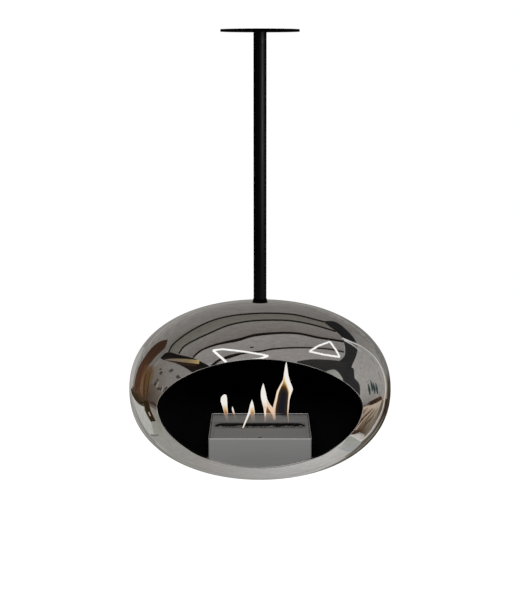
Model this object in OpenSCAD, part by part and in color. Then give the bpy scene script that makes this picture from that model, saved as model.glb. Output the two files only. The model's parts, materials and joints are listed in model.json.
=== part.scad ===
// Hanging fireplace: an oval steel body on a ceiling pole, with an ethanol
// burner standing in it. Millimetres, +Z up. The origin is the centre of the
// ceiling plate's top face, so the part hangs below z = 0. The opening faces
// -Y. The pole turns in the socket, the burner lifts out of its casing, and
// the lid slides back over the flame slot.

/* [Ceiling plate] */
// Diameter of the ceiling plate
plate_d = 162; // [130:1:240]
// Thickness of the ceiling plate
plate_t = 5; // [4:0.5:10]
// Diameter of the circle that the screw holes lie on
screw_circle_d = 120; // [80:1:125]
// Number of screw holes
screw_count = 4; // [3:1:8]
// Diameter of each screw hole
screw_hole_d = 5.5; // [4:0.1:7]
// Width of the countersink at the plate's lower face
screw_sink_d = 10.5; // [8:0.1:12]

/* [Pole and socket] */
// Distance from the ceiling down to the top of the body
drop = 563; // [200:1:2000]
// Outer diameter of the pole and of the socket
pole_d = 26.9; // [25:0.1:40]
// Wall of the pole
pole_wall = 2.6; // [1.5:0.1:3.5]
// Length of the socket below the ceiling plate
socket_len = 25; // [22:0.5:60]
// Wall of the socket
socket_wall = 3.4; // [2:0.1:3.6]
// Thickness of the socket's floor, which the bearing stands on
socket_floor = 6; // [3:0.5:8]
// Length of the socket's spigot in the ceiling plate
spigot_len = 3; // [1.5:0.5:3.5]
// Gap between the fixed socket and the turning pole
swivel_gap = 0.5; // [0.3:0.1:2]
// Length of the plugs in the two ends of the pole
plug_len = 20; // [12:1:40]

/* [Swivel bearing] */
// Diameter of the swivel bolt
swivel_bolt_d = 8; // [6:0.5:9]
// Outer diameter of the two races
race_od = 18.6; // [17:0.1:19.5]
// Thickness of each race
race_t = 2.2; // [1.6:0.1:3]
// Diameter of the balls
ball_d = 3; // [2.4:0.1:3.4]
// Number of balls
ball_count = 8; // [6:1:10]
// Thickness of the ball cage
cage_t = 1.2; // [0.8:0.1:1.4]
// Thickness of the washer under the bolt's head
swivel_washer_t = 1.6; // [1:0.1:2.5]

/* [Body] */
// Width of the body
body_d = 550; // [500:1:700]
// Height of the body
body_h = 364; // [340:1:460]
// Fullness of the oval section: 2 is an ellipse, more is squarer
body_form = 2.2; // [2:0.05:2.6]
// Thickness of the outer shell
shell_t = 2; // [1:0.1:4]
// Air gap between the outer shell and the inner liner
air_gap = 4; // [2:0.5:8]
// Thickness of the inner liner
liner_t = 1.5; // [1:0.1:3]
// Diameter of the pads that keep the air gap open
pad_d = 20; // [10:1:30]
// Distance of the pads from the body's axis
pad_offset = 225; // [200:1:230]

/* [Opening] */
// Width of the opening
opening_w = 406; // [300:1:420]
// Height of the opening
opening_h = 221; // [180:1:240]
// Fullness of the opening's outline
opening_form = 1.87; // [1.8:0.01:2.4]
// How far the opening's centre lies below the body's widest line
opening_drop = 5.5; // [0:0.5:12]

/* [Suspension] */
// Diameter of the bolt that carries the body
hang_bolt_d = 12; // [8:0.5:14]
// Widest diameter of the collar where the pole meets the body
collar_d = 33; // [30:0.5:60]
// Height of the collar
collar_h = 8; // [4:0.5:20]
// Diameter of the spacer between shell and liner at the crown
crown_spacer_d = 60; // [40:1:100]
// Diameter of the plate that spreads the load under the liner
crown_plate_d = 80; // [50:1:120]
// Thickness of that plate at its middle
crown_plate_t = 5; // [4:0.5:10]
// Thickness of the washer under the hanging bolt's head
hang_washer_t = 2.5; // [1.5:0.1:4]

/* [Hearth] */
// Thickness of the plate that the burner stands on
hearth_t = 2; // [1.5:0.1:4]
// Gap between the corners of the burner casing and the bowl
corner_gap = 4; // [2:0.5:12]
// Distance of the studs from the middle, across
stud_x = 70; // [40:1:75]
// Distance of the studs from the middle, front to back
stud_y = 80; // [40:1:84]
// Diameter of the studs under the hearth plate
stud_d = 12; // [9:0.5:16]
// Diameter of the screws through casing and hearth plate
hearth_screw_d = 5; // [4:0.1:6]

/* [Burner casing] */
// Width of the burner casing
casing_w = 211; // [200:1:230]
// Depth of the burner casing, front to back
casing_d = 230; // [215:1:250]
// Height of the burner casing
casing_h = 64; // [62:1:90]
// Thickness of the casing's sheet
casing_t = 1.5; // [1:0.1:2.5]
// Outer radius of the casing's corners
casing_r = 2.5; // [2:0.1:6]

/* [Burner] */
// Gap between the casing and the burner, all round
burner_gap = 2.5; // [1:0.1:3]
// How far the burner's top plate lies below the casing's edge
burner_recess = 3.5; // [3.3:0.1:8]
// Thickness of the tank's sheet
tank_t = 1.5; // [1:0.1:2]
// Thickness of the burner's top plate
top_t = 1.5; // [1:0.1:2.5]
// Height of the feet under the tank
foot_h = 4; // [3.6:0.1:6]
// Diameter of the feet
foot_d = 16; // [10:1:18]
// Distance of the feet from the middle, across
foot_x = 86; // [82:1:88]
// Distance of the feet from the middle, front to back
foot_y = 97; // [93:1:98]
// Length of the flame slot
slot_w = 191; // [120:1:191]
// Width of the flame slot, front to back
slot_d = 44; // [20:1:46]
// How far the slot's middle lies behind the burner's middle
slot_back = 15; // [0:1:20]
// Depth of the ceramic wool below the top plate's upper face
wool_drop = 7; // [4:0.5:10]
// Wall of the basket that holds the wool
basket_t = 1.2; // [0.8:0.1:2]
// Height of the basket below the top plate
basket_h = 43; // [30:1:48]
// Width of the basket's flange
flange_w = 2; // [1.5:0.1:2.2]
// Diameter of the basket's perforations
perf_d = 4; // [2:0.1:5]
// Distance between the perforations
perf_pitch = 12; // [8:1:24]

/* [Lid] */
// Thickness of the sliding lid
lid_t = 1.5; // [1:0.1:1.6]
// Gap between the lid's back edge at rest and the slot
lid_gap = 8.8; // [2:0.1:12]
// How far the shut lid reaches past the slot
lid_lap = 3.2; // [1:0.1:6]
// Diameter of the lid's finger hole
lid_hole_d = 8; // [6:0.5:14]
// Distance of the finger hole from the lid's front edge
lid_hole_back = 11.5; // [8:0.5:40]
// Width of each rail's foot
rail_w = 2.4; // [1.5:0.1:2.6]
// How far each rail's lip reaches over the lid
rail_lip = 2.2; // [1:0.1:2.4]
// Thickness of each rail's lip
rail_t = 1; // [0.8:0.1:1.2]

/* [Hidden] */
$fn = 96;

// Clearances: a turning shaft, a seated piece, a sliding piece, a bolt in its hole
run_fit = 0.05;
seat_fit = 0.05;
slide_fit = 0.3;
lid_lift = 0.1;
hole_fit = 0.25;

// Pole and socket
pole_r = pole_d / 2;
pole_bore_r = pole_r - pole_wall;
socket_bore_r = pole_r - socket_wall;
spigot_r = pole_r - socket_wall / 2;
socket_base = -plate_t - socket_len;
floor_top = socket_base + socket_floor;
pole_top = socket_base - swivel_gap;
body_top = -drop;

// Swivel bearing, from the socket's floor up
swivel_r = swivel_bolt_d / 2;
race_bore_r = swivel_r + hole_fit;
ball_circle_r = (race_bore_r + race_od / 2) / 2;
groove_depth = ball_d / 5;
groove_r = ball_d / 2 + run_fit;
ball_z = floor_top + race_t - groove_depth + groove_r;
upper_race_z = ball_z + groove_r - groove_depth;
swivel_washer_z = upper_race_z + race_t;
swivel_head_z = swivel_washer_z + swivel_washer_t;
swivel_nut_z = pole_top - plug_len;

// Hexagon heads and nuts, from the thread's diameter
function hex_across(d) = 1.6 * d;
function head_height(d) = 0.65 * d;
function nut_height(d) = 0.8 * d;
thread_end = 4;

// Body
body_r = body_d / 2;
body_half = body_h / 2;
body_mid = body_top - body_half;
gap_in = shell_t + air_gap;
liner_in = gap_in + liner_t;
form_steps = 24;
rim_steps = 72;
pad_angles = [0 : 45 : 180];

// Crown, from the liner down
hang_r = hang_bolt_d / 2;
crown_base = body_top - liner_in - crown_plate_t;
hang_head_z = crown_base - hang_washer_t;

// Hearth: the plate lies where the bowl is just wide enough for the casing's corners
casing_corner_r = norm([casing_w / 2, casing_d / 2]);
hearth_z = body_mid - bowl_depth(liner_in, casing_corner_r + corner_gap);
hearth_edge = 1;
hearth_plate_r = bowl_radius(liner_in, hearth_z - hearth_t - body_mid) - hearth_edge;
screw_r = hearth_screw_d / 2;
screw_head_h = hearth_screw_d * 0.55;
screw_grip = 8;

// Burner
casing_top = hearth_z + casing_h;
tank_w = casing_w - 2 * (casing_t + burner_gap);
tank_d = casing_d - 2 * (casing_t + burner_gap);
tank_r = 1.5;
top_z = casing_top - burner_recess;
tank_base = hearth_z + casing_t + foot_h;
basket_fit = 1;

// Lid
lid_z = top_z + lid_lift;
lid_w = tank_w - 2 * (rail_w + slide_fit);
stop_t = 1;
slot_front = slot_back - slot_d / 2;
lid_front = -tank_d / 2 + stop_t + slide_fit;
lid_back = slot_front - lid_gap;
lid_travel = slot_d + lid_gap + lid_lap;
rail_back = lid_back + lid_travel + slide_fit + stop_t;
lip_z = lid_z + lid_t + slide_fit;

// ---- Shapes used by more than one piece ----

function signed_pow(v, e) = sign(v) * pow(abs(v), e);
function oval_point(a, b, form, t) = [a * signed_pow(cos(t), 2 / form), b * signed_pow(sin(t), 2 / form)];
// Radius of the body's form at height z above its widest line
function bowl_radius(inset, z) =
    (body_r - inset) * pow(1 - pow(abs(z) / (body_half - inset), body_form), 1 / body_form);
// Depth of the body's form below its widest line at radius r
function bowl_depth(inset, r) =
    (body_half - inset) * pow(1 - pow(r / (body_r - inset), body_form), 1 / body_form);

// The body's form, solid, drawn in by inset
module body_solid(inset) {
    translate([0, 0, body_mid])
        rotate_extrude()
            polygon([for (i = [-form_steps : form_steps])
                oval_point(body_r - inset, body_half - inset, body_form, i * 90 / form_steps)]);
}

module body_skin(outer_inset, inner_inset) {
    difference() {
        body_solid(outer_inset);
        body_solid(inner_inset);
    }
}

// The opening as a bar along -Y, its outline grown all round by grow
module opening_bar(grow) {
    translate([0, 0, body_mid - opening_drop])
        rotate([90, 0, 0])
            linear_extrude(body_d)
                polygon([for (i = [0 : rim_steps - 1])
                    oval_point(opening_w / 2 + grow, opening_h / 2 + grow, opening_form, i * 360 / rim_steps)]);
}

module ring(outer_r, inner_r, z, h) {
    translate([0, 0, z])
        difference() {
            cylinder(r = outer_r, h = h);
            translate([0, 0, -1])
                cylinder(r = inner_r, h = h + 2);
        }
}

module hexagon(across, z, h) {
    translate([0, 0, z])
        cylinder(d = across / cos(30), h = h, $fn = 6);
}

module rounded_rectangle(w, d, r) {
    square([w - 2 * r, d], center = true);
    square([w, d - 2 * r], center = true);
    for (x = [-1, 1], y = [-1, 1])
        translate([x * (w / 2 - r), y * (d / 2 - r)])
            circle(r = r);
}

module rounded_block(w, d, r, z, h) {
    translate([0, 0, z])
        linear_extrude(h)
            rounded_rectangle(w, d, r);
}

// The flame slot's outline, grown all round by grow
module slot_block(grow, z, h) {
    r = slot_d / 2 + grow;
    reach = slot_w / 2 - slot_d / 2;
    translate([0, slot_back, z])
        linear_extrude(h) {
            square([2 * reach, 2 * r], center = true);
            for (x = [-reach, reach])
                translate([x, 0])
                    circle(r = r);
        }
}

module at_corners(x, y) {
    for (sx = [-1, 1], sy = [-1, 1])
        translate([sx * x, sy * y, 0])
            children();
}

// ---- Ceiling and swivel ----

module ceiling_plate() {
    color([0.05, 0.05, 0.05])
        difference() {
            translate([0, 0, -plate_t])
                cylinder(d = plate_d, h = plate_t);
            translate([0, 0, -plate_t - 1])
                cylinder(r = spigot_r + seat_fit, h = plate_t + 2);
            for (i = [0 : screw_count - 1])
                rotate([0, 0, 45 + i * 360 / screw_count])
                    translate([screw_circle_d / 2, 0, -plate_t]) {
                        translate([0, 0, -1])
                            cylinder(d = screw_hole_d, h = plate_t + 2);
                        cylinder(d1 = screw_sink_d, d2 = screw_hole_d, h = (screw_sink_d - screw_hole_d) / 2);
                    }
        }
}

module hanger_socket() {
    color([0.06, 0.06, 0.06])
        difference() {
            union() {
                translate([0, 0, socket_base])
                    cylinder(r = pole_r, h = socket_len);
                translate([0, 0, socket_base])
                    cylinder(r = spigot_r, h = socket_len + spigot_len);
            }
            translate([0, 0, floor_top])
                cylinder(r = socket_bore_r, h = socket_len + spigot_len);
            translate([0, 0, socket_base - 1])
                cylinder(r = swivel_r + run_fit, h = socket_floor + 2);
        }
}

module race(z, groove_z) {
    color([0.6, 0.6, 0.6])
        difference() {
            ring(race_od / 2, race_bore_r, z, race_t);
            translate([0, 0, groove_z])
                rotate_extrude()
                    translate([ball_circle_r, 0])
                        circle(r = groove_r, $fn = 32);
        }
}

module bearing_lower_race() race(floor_top, ball_z);

module bearing_upper_race() race(upper_race_z, ball_z);

module at_balls() {
    for (i = [0 : ball_count - 1])
        rotate([0, 0, i * 360 / ball_count])
            translate([ball_circle_r, 0, ball_z])
                children();
}

module bearing_balls() {
    color([0.75, 0.75, 0.75])
        at_balls()
            sphere(d = ball_d, $fn = 32);
}

module bearing_cage() {
    color([0.7, 0.55, 0.25])
        difference() {
            ring(race_od / 2 - 0.4, race_bore_r + 0.4, ball_z - cage_t / 2, cage_t);
            at_balls()
                cylinder(d = ball_d + 2 * run_fit, h = cage_t + 2, center = true, $fn = 32);
        }
}

module swivel_washer() {
    color([0.6, 0.6, 0.6])
        ring(swivel_bolt_d, race_bore_r, swivel_washer_z, swivel_washer_t);
}

module swivel_bolt() {
    end_z = swivel_nut_z - nut_height(swivel_bolt_d) - thread_end;
    color([0.55, 0.55, 0.56]) {
        hexagon(hex_across(swivel_bolt_d), swivel_head_z, head_height(swivel_bolt_d));
        translate([0, 0, end_z])
            cylinder(r = swivel_r, h = swivel_head_z - end_z);
    }
}

module swivel_lock_nut() {
    h = nut_height(swivel_bolt_d);
    color([0.55, 0.55, 0.56])
        difference() {
            hexagon(hex_across(swivel_bolt_d), swivel_nut_z - h, h);
            translate([0, 0, swivel_nut_z - h - 1])
                cylinder(r = swivel_r + seat_fit, h = h + 2);
        }
}

// ---- Pole ----

module pole_top_plug() {
    color([0.45, 0.45, 0.46])
        ring(pole_bore_r - seat_fit, swivel_r + seat_fit, pole_top - plug_len, plug_len);
}

module pole_tube() {
    color([0.05, 0.05, 0.05])
        ring(pole_r, pole_bore_r, body_top, pole_top - body_top);
}

module pole_bottom_plug() {
    color([0.45, 0.45, 0.46])
        ring(pole_bore_r - seat_fit, hang_r + seat_fit, body_top, plug_len);
}

// A ring that flares towards the body
module collar_ring() {
    inner = pole_r + seat_fit;
    brim = 1;
    flare = collar_d / 2 - inner - brim;
    steps = 8;
    color([0.05, 0.05, 0.05])
        translate([0, 0, body_top])
            rotate_extrude()
                polygon(concat(
                    [[inner, 0], [collar_d / 2, 0]],
                    [for (i = [0 : steps])
                        [inner + brim + flare * pow(1 - i / steps, 2), brim + (collar_h - brim) * i / steps]],
                    [[inner, collar_h]]));
}

// ---- Body ----

module outer_shell() {
    color([0.5, 0.48, 0.46])
        difference() {
            body_skin(0, shell_t);
            opening_bar(0);
            translate([0, 0, body_mid])
                cylinder(r = hang_r + hole_fit, h = body_h);
        }
}

module crown_spacer() {
    color([0.3, 0.3, 0.3])
        intersection() {
            body_skin(shell_t + seat_fit, gap_in - seat_fit);
            ring(crown_spacer_d / 2, hang_r + hole_fit, body_mid, body_h);
        }
}

// The liner is turned out at the opening until it meets the shell
module inner_liner() {
    color([0.03, 0.03, 0.03])
        difference() {
            union() {
                body_skin(gap_in, liner_in);
                intersection() {
                    body_skin(shell_t + seat_fit, liner_in);
                    opening_bar(liner_t);
                }
            }
            opening_bar(0);
            translate([0, 0, body_mid])
                cylinder(r = hang_r + hole_fit, h = body_h);
        }
}

module liner_pads() {
    color([0.8, 0.78, 0.72])
        intersection() {
            body_skin(shell_t + seat_fit, gap_in - seat_fit);
            for (a = pad_angles)
                rotate([0, 0, a])
                    translate([pad_offset, 0, body_mid - body_half])
                        cylinder(d = pad_d, h = body_h, $fn = 48);
        }
}

module crown_plate() {
    color([0.2, 0.2, 0.2])
        intersection() {
            body_solid(liner_in + seat_fit);
            ring(crown_plate_d / 2, hang_r + hole_fit, crown_base, body_half);
        }
}

module hang_washer() {
    color([0.6, 0.6, 0.6])
        ring(hang_bolt_d, hang_r + hole_fit, hang_head_z, hang_washer_t);
}

module hang_bolt() {
    head = head_height(hang_bolt_d);
    color([0.55, 0.55, 0.56]) {
        hexagon(hex_across(hang_bolt_d), hang_head_z - head, head);
        translate([0, 0, hang_head_z])
            cylinder(r = hang_r, h = body_top + plug_len - thread_end - hang_head_z);
    }
}

// ---- Hearth ----

module hearth_studs() {
    top = hearth_z - hearth_t;
    color([0.4, 0.4, 0.4])
        difference() {
            intersection() {
                body_solid(liner_in + seat_fit);
                at_corners(stud_x, stud_y)
                    translate([0, 0, body_mid - body_half])
                        cylinder(d = stud_d, h = top - body_mid + body_half);
            }
            at_corners(stud_x, stud_y)
                translate([0, 0, top - screw_grip - 1])
                    cylinder(r = screw_r + seat_fit, h = screw_grip + 2);
        }
}

module hearth_plate() {
    color([0.06, 0.06, 0.06])
        difference() {
            translate([0, 0, hearth_z - hearth_t])
                cylinder(r = hearth_plate_r, h = hearth_t);
            at_corners(stud_x, stud_y)
                translate([0, 0, hearth_z - hearth_t - 1])
                    cylinder(r = screw_r + hole_fit, h = hearth_t + 2);
        }
}

module hearth_screws() {
    under_head = hearth_z + casing_t;
    color([0.6, 0.6, 0.6])
        at_corners(stud_x, stud_y) {
            translate([0, 0, under_head])
                cylinder(r = 1.9 * screw_r, h = screw_head_h);
            translate([0, 0, hearth_z - hearth_t - screw_grip])
                cylinder(r = screw_r, h = under_head - hearth_z + hearth_t + screw_grip);
        }
}

// ---- Burner ----

// An open box of folded sheet
module sheet_box(w, d, r, t, z, h) {
    difference() {
        rounded_block(w, d, r, z, h);
        rounded_block(w - 2 * t, d - 2 * t, max(r - t, 0.3), z + t, h);
    }
}

module burner_casing() {
    color([0.48, 0.47, 0.46])
        difference() {
            sheet_box(casing_w, casing_d, casing_r, casing_t, hearth_z, casing_h);
            at_corners(stud_x, stud_y)
                translate([0, 0, hearth_z - 1])
                    cylinder(r = screw_r + hole_fit, h = casing_t + 2);
        }
}

module tank_feet() {
    color([0.2, 0.2, 0.2])
        at_corners(foot_x, foot_y)
            translate([0, 0, hearth_z + casing_t])
                cylinder(d = foot_d, h = foot_h);
}

module fuel_tank() {
    color([0.5, 0.5, 0.5])
        sheet_box(tank_w, tank_d, tank_r, tank_t, tank_base, top_z - top_t - tank_base);
}

module tank_top() {
    color([0.42, 0.41, 0.4])
        difference() {
            rounded_block(tank_w, tank_d, tank_r, top_z - top_t, top_t);
            slot_block(0, top_z - top_t - 1, top_t + 2);
        }
}

// A perforated trough that hangs under the slot from its flange
module wool_basket() {
    top = top_z - top_t;
    base = top - basket_h;
    rows = 2;
    across = floor((slot_w - slot_d) / perf_pitch);
    color([0.35, 0.35, 0.35])
        difference() {
            union() {
                slot_block(basket_fit + basket_t, base, basket_h);
                slot_block(basket_fit + basket_t + flange_w, top - basket_t, basket_t);
            }
            slot_block(basket_fit, base + basket_t, basket_h);
            for (row = [1 : rows], i = [0 : across])
                translate([(i - across / 2) * perf_pitch, slot_back, base + row * basket_h / (rows + 2)])
                    rotate([90, 0, 0])
                        cylinder(d = perf_d, h = 2 * slot_d, center = true, $fn = 24);
        }
}

module ceramic_wool() {
    base = top_z - top_t - basket_h + basket_t;
    color([0.85, 0.83, 0.78])
        slot_block(basket_fit - slide_fit, base, top_z - wool_drop - base);
}

// One rail: a foot beside the lid, a lip over it and a stop at each end
module lid_rail(side) {
    outer = tank_w / 2;
    depth = rail_back + tank_d / 2;
    reach = rail_w + slide_fit + rail_lip;
    color([0.42, 0.41, 0.4])
        mirror([side < 0 ? 1 : 0, 0, 0])
            translate([0, -tank_d / 2, top_z]) {
                translate([outer - rail_w, 0, 0])
                    cube([rail_w, depth, lip_z - top_z + rail_t]);
                translate([outer - reach, 0, lip_z - top_z])
                    cube([reach, depth, rail_t]);
                for (y = [0, depth - stop_t])
                    translate([outer - reach, y, 0])
                        cube([reach, stop_t, lip_z - top_z + rail_t]);
            }
}

module lid_rail_left() lid_rail(-1);

module lid_rail_right() lid_rail(1);

module sliding_lid() {
    color([0.42, 0.41, 0.4])
        difference() {
            translate([-lid_w / 2, lid_front, lid_z])
                cube([lid_w, lid_back - lid_front, lid_t]);
            translate([0, lid_front + lid_hole_back, lid_z - 1])
                cylinder(d = lid_hole_d, h = lid_t + 2);
        }
}

ceiling_plate();
hanger_socket();
bearing_lower_race();
bearing_balls();
bearing_cage();
bearing_upper_race();
swivel_washer();
swivel_bolt();
swivel_lock_nut();
pole_top_plug();
pole_tube();
pole_bottom_plug();
collar_ring();
outer_shell();
crown_spacer();
inner_liner();
liner_pads();
crown_plate();
hang_washer();
hang_bolt();
hearth_studs();
hearth_plate();
hearth_screws();
burner_casing();
tank_feet();
fuel_tank();
tank_top();
wool_basket();
ceramic_wool();
lid_rail_left();
lid_rail_right();
sliding_lid();
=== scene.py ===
"""Looks of a hanging fireplace: a mirror-bright oval body on a black pole, a steel burner and its flames.

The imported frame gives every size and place, in metres. The body's centre is on the Z axis and its opening
faces -Y.
"""
import json
import math

import bpy
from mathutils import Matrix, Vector, noise


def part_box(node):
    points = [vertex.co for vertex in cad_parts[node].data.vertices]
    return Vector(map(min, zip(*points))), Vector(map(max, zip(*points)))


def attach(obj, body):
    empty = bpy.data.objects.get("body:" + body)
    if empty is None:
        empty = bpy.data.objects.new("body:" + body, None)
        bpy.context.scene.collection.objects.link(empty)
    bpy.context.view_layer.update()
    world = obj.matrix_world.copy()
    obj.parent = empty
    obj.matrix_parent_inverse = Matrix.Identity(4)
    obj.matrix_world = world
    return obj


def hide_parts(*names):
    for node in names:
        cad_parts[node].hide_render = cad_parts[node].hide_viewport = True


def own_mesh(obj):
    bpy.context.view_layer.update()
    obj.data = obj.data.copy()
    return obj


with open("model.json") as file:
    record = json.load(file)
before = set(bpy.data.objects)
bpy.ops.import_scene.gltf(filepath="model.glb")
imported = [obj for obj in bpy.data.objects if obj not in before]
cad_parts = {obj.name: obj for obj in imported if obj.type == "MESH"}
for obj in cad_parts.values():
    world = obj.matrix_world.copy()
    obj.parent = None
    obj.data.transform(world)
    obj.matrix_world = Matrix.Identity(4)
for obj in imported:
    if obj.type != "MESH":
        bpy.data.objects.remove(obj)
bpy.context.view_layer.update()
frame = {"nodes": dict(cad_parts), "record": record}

MM = 0.001
NODES = frame["nodes"]

# ---- The camera, where the photograph's camera stands ----

PICTURE_H = 600
PICTURE_MID = (260.1, 300)
CAMERA_AT = Vector((0, -3.217, -0.0654))
CAMERA_PITCH = 0.152
LENS = 93.35
# The taller side of the picture takes the whole of the sensor
SENSOR = 36
FOCAL_PIXELS = LENS / SENSOR * PICTURE_H


def add_camera():
    data = bpy.data.cameras.new("camera")
    data.lens = LENS
    data.sensor_width = SENSOR
    camera = bpy.data.objects.new("camera", data)
    camera.location = CAMERA_AT
    camera.rotation_euler = (math.pi / 2 - CAMERA_PITCH, 0, 0)
    bpy.context.scene.collection.objects.link(camera)
    bpy.context.scene.camera = camera


def sight(px, py):
    """Direction of the line of sight through a point of the picture."""
    right = (px - PICTURE_MID[0]) / FOCAL_PIXELS
    up = (PICTURE_MID[1] - py) / FOCAL_PIXELS
    c, s = math.cos(CAMERA_PITCH), math.sin(CAMERA_PITCH)
    return Vector((right, c + s * up, c * up - s)).normalized()


def upright_point(px, py, y):
    """Where the line of sight meets the upright plane at y."""
    d = sight(px, py)
    return CAMERA_AT + d * ((y - CAMERA_AT.y) / d.y)


# ---- The body's oval form ----

SHELL_LOW, SHELL_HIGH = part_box("outer_shell")
BODY_R = SHELL_HIGH.x
BODY_HALF = (SHELL_HIGH.z - SHELL_LOW.z) / 2
BODY_MID = Vector((0, 0, (SHELL_HIGH.z + SHELL_LOW.z) / 2))
BODY_FORM = 2.2
OPENING_HALF_W = 203 * MM
OPENING_HALF_H = 110.5 * MM
OPENING_FORM = 1.87
OPENING_DROP = 5.5 * MM


def signed_power(v, e):
    return math.copysign(abs(v) ** e, v)


def oval_point(a, b, form, angle):
    return a * signed_power(math.cos(angle), 2 / form), b * signed_power(math.sin(angle), 2 / form)


def form_value(p):
    """1 on the body's form, less inside it."""
    q = p - BODY_MID
    return (math.hypot(q.x, q.y) / BODY_R) ** BODY_FORM + (abs(q.z) / BODY_HALF) ** BODY_FORM


def form_normal(p):
    q = p - BODY_MID
    ring = math.hypot(q.x, q.y)
    side = (ring / BODY_R) ** (BODY_FORM - 1) / (BODY_R * max(ring, 1e-9))
    up = signed_power(q.z / BODY_HALF, BODY_FORM - 1) / BODY_HALF
    return Vector((side * q.x, side * q.y, up)).normalized()


def on_form(direction):
    """The point of the form in a direction from its centre."""
    ring = math.hypot(direction.x, direction.y) / BODY_R
    reach = (ring ** BODY_FORM + abs(direction.z / BODY_HALF) ** BODY_FORM) ** (-1 / BODY_FORM)
    return BODY_MID + direction * reach


# ---- Modelling helpers ----


def held(value):
    """The value, held between 0 and 1."""
    return min(1, max(0, value))


def bell(value, middle, spread):
    """1 at the middle, falling off to both sides."""
    return math.exp(-((value - middle) / spread) ** 2)


def make_active(piece):
    """Selects the piece alone, for the operators."""
    deselect_all()
    piece.select_set(True)
    bpy.context.view_layer.objects.active = piece


def deselect_all():
    for o in bpy.context.selected_objects:
        o.select_set(False)


def primitive(name, add, **settings):
    """A new piece, from a mesh primitive."""
    deselect_all()
    add(**settings)
    piece = bpy.context.active_object
    piece.name = piece.data.name = name
    return piece


def edit(piece, *steps):
    """Runs edit-mode operators on all of the piece."""
    make_active(piece)
    bpy.ops.object.mode_set(mode="EDIT")
    bpy.ops.mesh.select_all(action="SELECT")
    for step in steps:
        step()
    bpy.ops.object.mode_set(mode="OBJECT")


def merge(distance=1e-5):
    return lambda: bpy.ops.mesh.remove_doubles(threshold=distance)


def face_outwards():
    bpy.ops.mesh.normals_make_consistent(inside=False)


def modify(piece, kind, **settings):
    """Adds a modifier and applies it."""
    m = piece.modifiers.new(kind.lower(), kind)
    for key, value in settings.items():
        setattr(m, key, value)
    make_active(piece)
    bpy.ops.object.modifier_apply(modifier=m.name)


def smooth(piece, angle=35):
    make_active(piece)
    bpy.ops.object.shade_smooth_by_angle(angle=math.radians(angle))


def soften(piece, width, segments=2, angle=35):
    """Rounds the sharp edges and smooths the shading up to them."""
    modify(piece, "BEVEL", width=width, segments=segments, limit_method="ANGLE",
           angle_limit=math.radians(angle), harden_normals=False)
    smooth(piece, angle)


def flatten(piece):
    """Lets the shading of large faces stay flat between rounded edges."""
    modify(piece, "WEIGHTED_NORMAL", mode="FACE_AREA", weight=100, keep_sharp=True)


def laid_grid(name, across, along, at):
    """A grid of vertices laid at at(u, v), with u across and v along it from 0 to 1.

    It keeps u and v as its UV map.
    """
    piece = primitive(name, bpy.ops.mesh.primitive_grid_add, x_subdivisions=across, y_subdivisions=along,
                      size=1)
    mesh = piece.data
    spots = [(v.co.x + 0.5, v.co.y + 0.5) for v in mesh.vertices]
    for v, (s, t) in zip(mesh.vertices, spots):
        v.co = at(s, t)
    uv = mesh.uv_layers.active or mesh.uv_layers.new(name="UVMap")
    for loop, spot in zip(mesh.loops, uv.data):
        spot.uv = spots[loop.vertex_index]
    return piece


def turned(name, profile, steps=96):
    """A closed profile of (radius, height) points, spun round the Z axis."""
    piece = primitive(name, bpy.ops.mesh.primitive_circle_add, vertices=len(profile), radius=1)
    for v, (r, z) in zip(piece.data.vertices, profile):
        v.co = (r, 0, z)
    edit(piece,
         lambda: bpy.ops.mesh.spin(steps=steps, angle=2 * math.pi, center=(0, 0, 0), axis=(0, 0, 1)),
         merge(), face_outwards)
    return piece


def copied(node, name):
    """A copy of a frame node's mesh with its loose triangles joined into whole faces."""
    piece = bpy.data.objects.new(name, NODES[node].data.copy())
    bpy.context.scene.collection.objects.link(piece)
    edit(piece, merge(2e-6), lambda: bpy.ops.mesh.dissolve_limited(angle_limit=math.radians(0.5)))
    return piece


def dress(mesh, material):
    mesh.materials.clear()
    mesh.materials.append(material)


def hide_from(thing, *rays):
    """Hides a thing from some kinds of ray."""
    for ray in rays:
        setattr(thing, "visible_" + ray, False)


def finish_piece(piece, slot, body, *nodes):
    """Gives the piece its finish and its body. Flames have no slot in the record."""
    dress(piece.data, FINISHES[slot])
    if nodes:
        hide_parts(*nodes)
    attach(piece, body)


# ---- Materials ----

# The chrome's reflectance face on, and how much its polish spreads a reflection
CHROME = (0.52, 0.5, 0.48)
CHROME_ROUGHNESS = 0.04
# A noise stays mostly between these
GRAIN_SPAN = (0.3, 0.7)
FIBRE_RELIEF = 0.6 * MM
LIP_GREY = 0.19
# How black the blackened places are, painted shade among them
BLACKENED_LEVEL = 0.006


def grey(level, warm=0.0):
    """A grey with a little warmth."""
    return (level * (1 + warm), level, level * (1 - warm))


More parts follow.
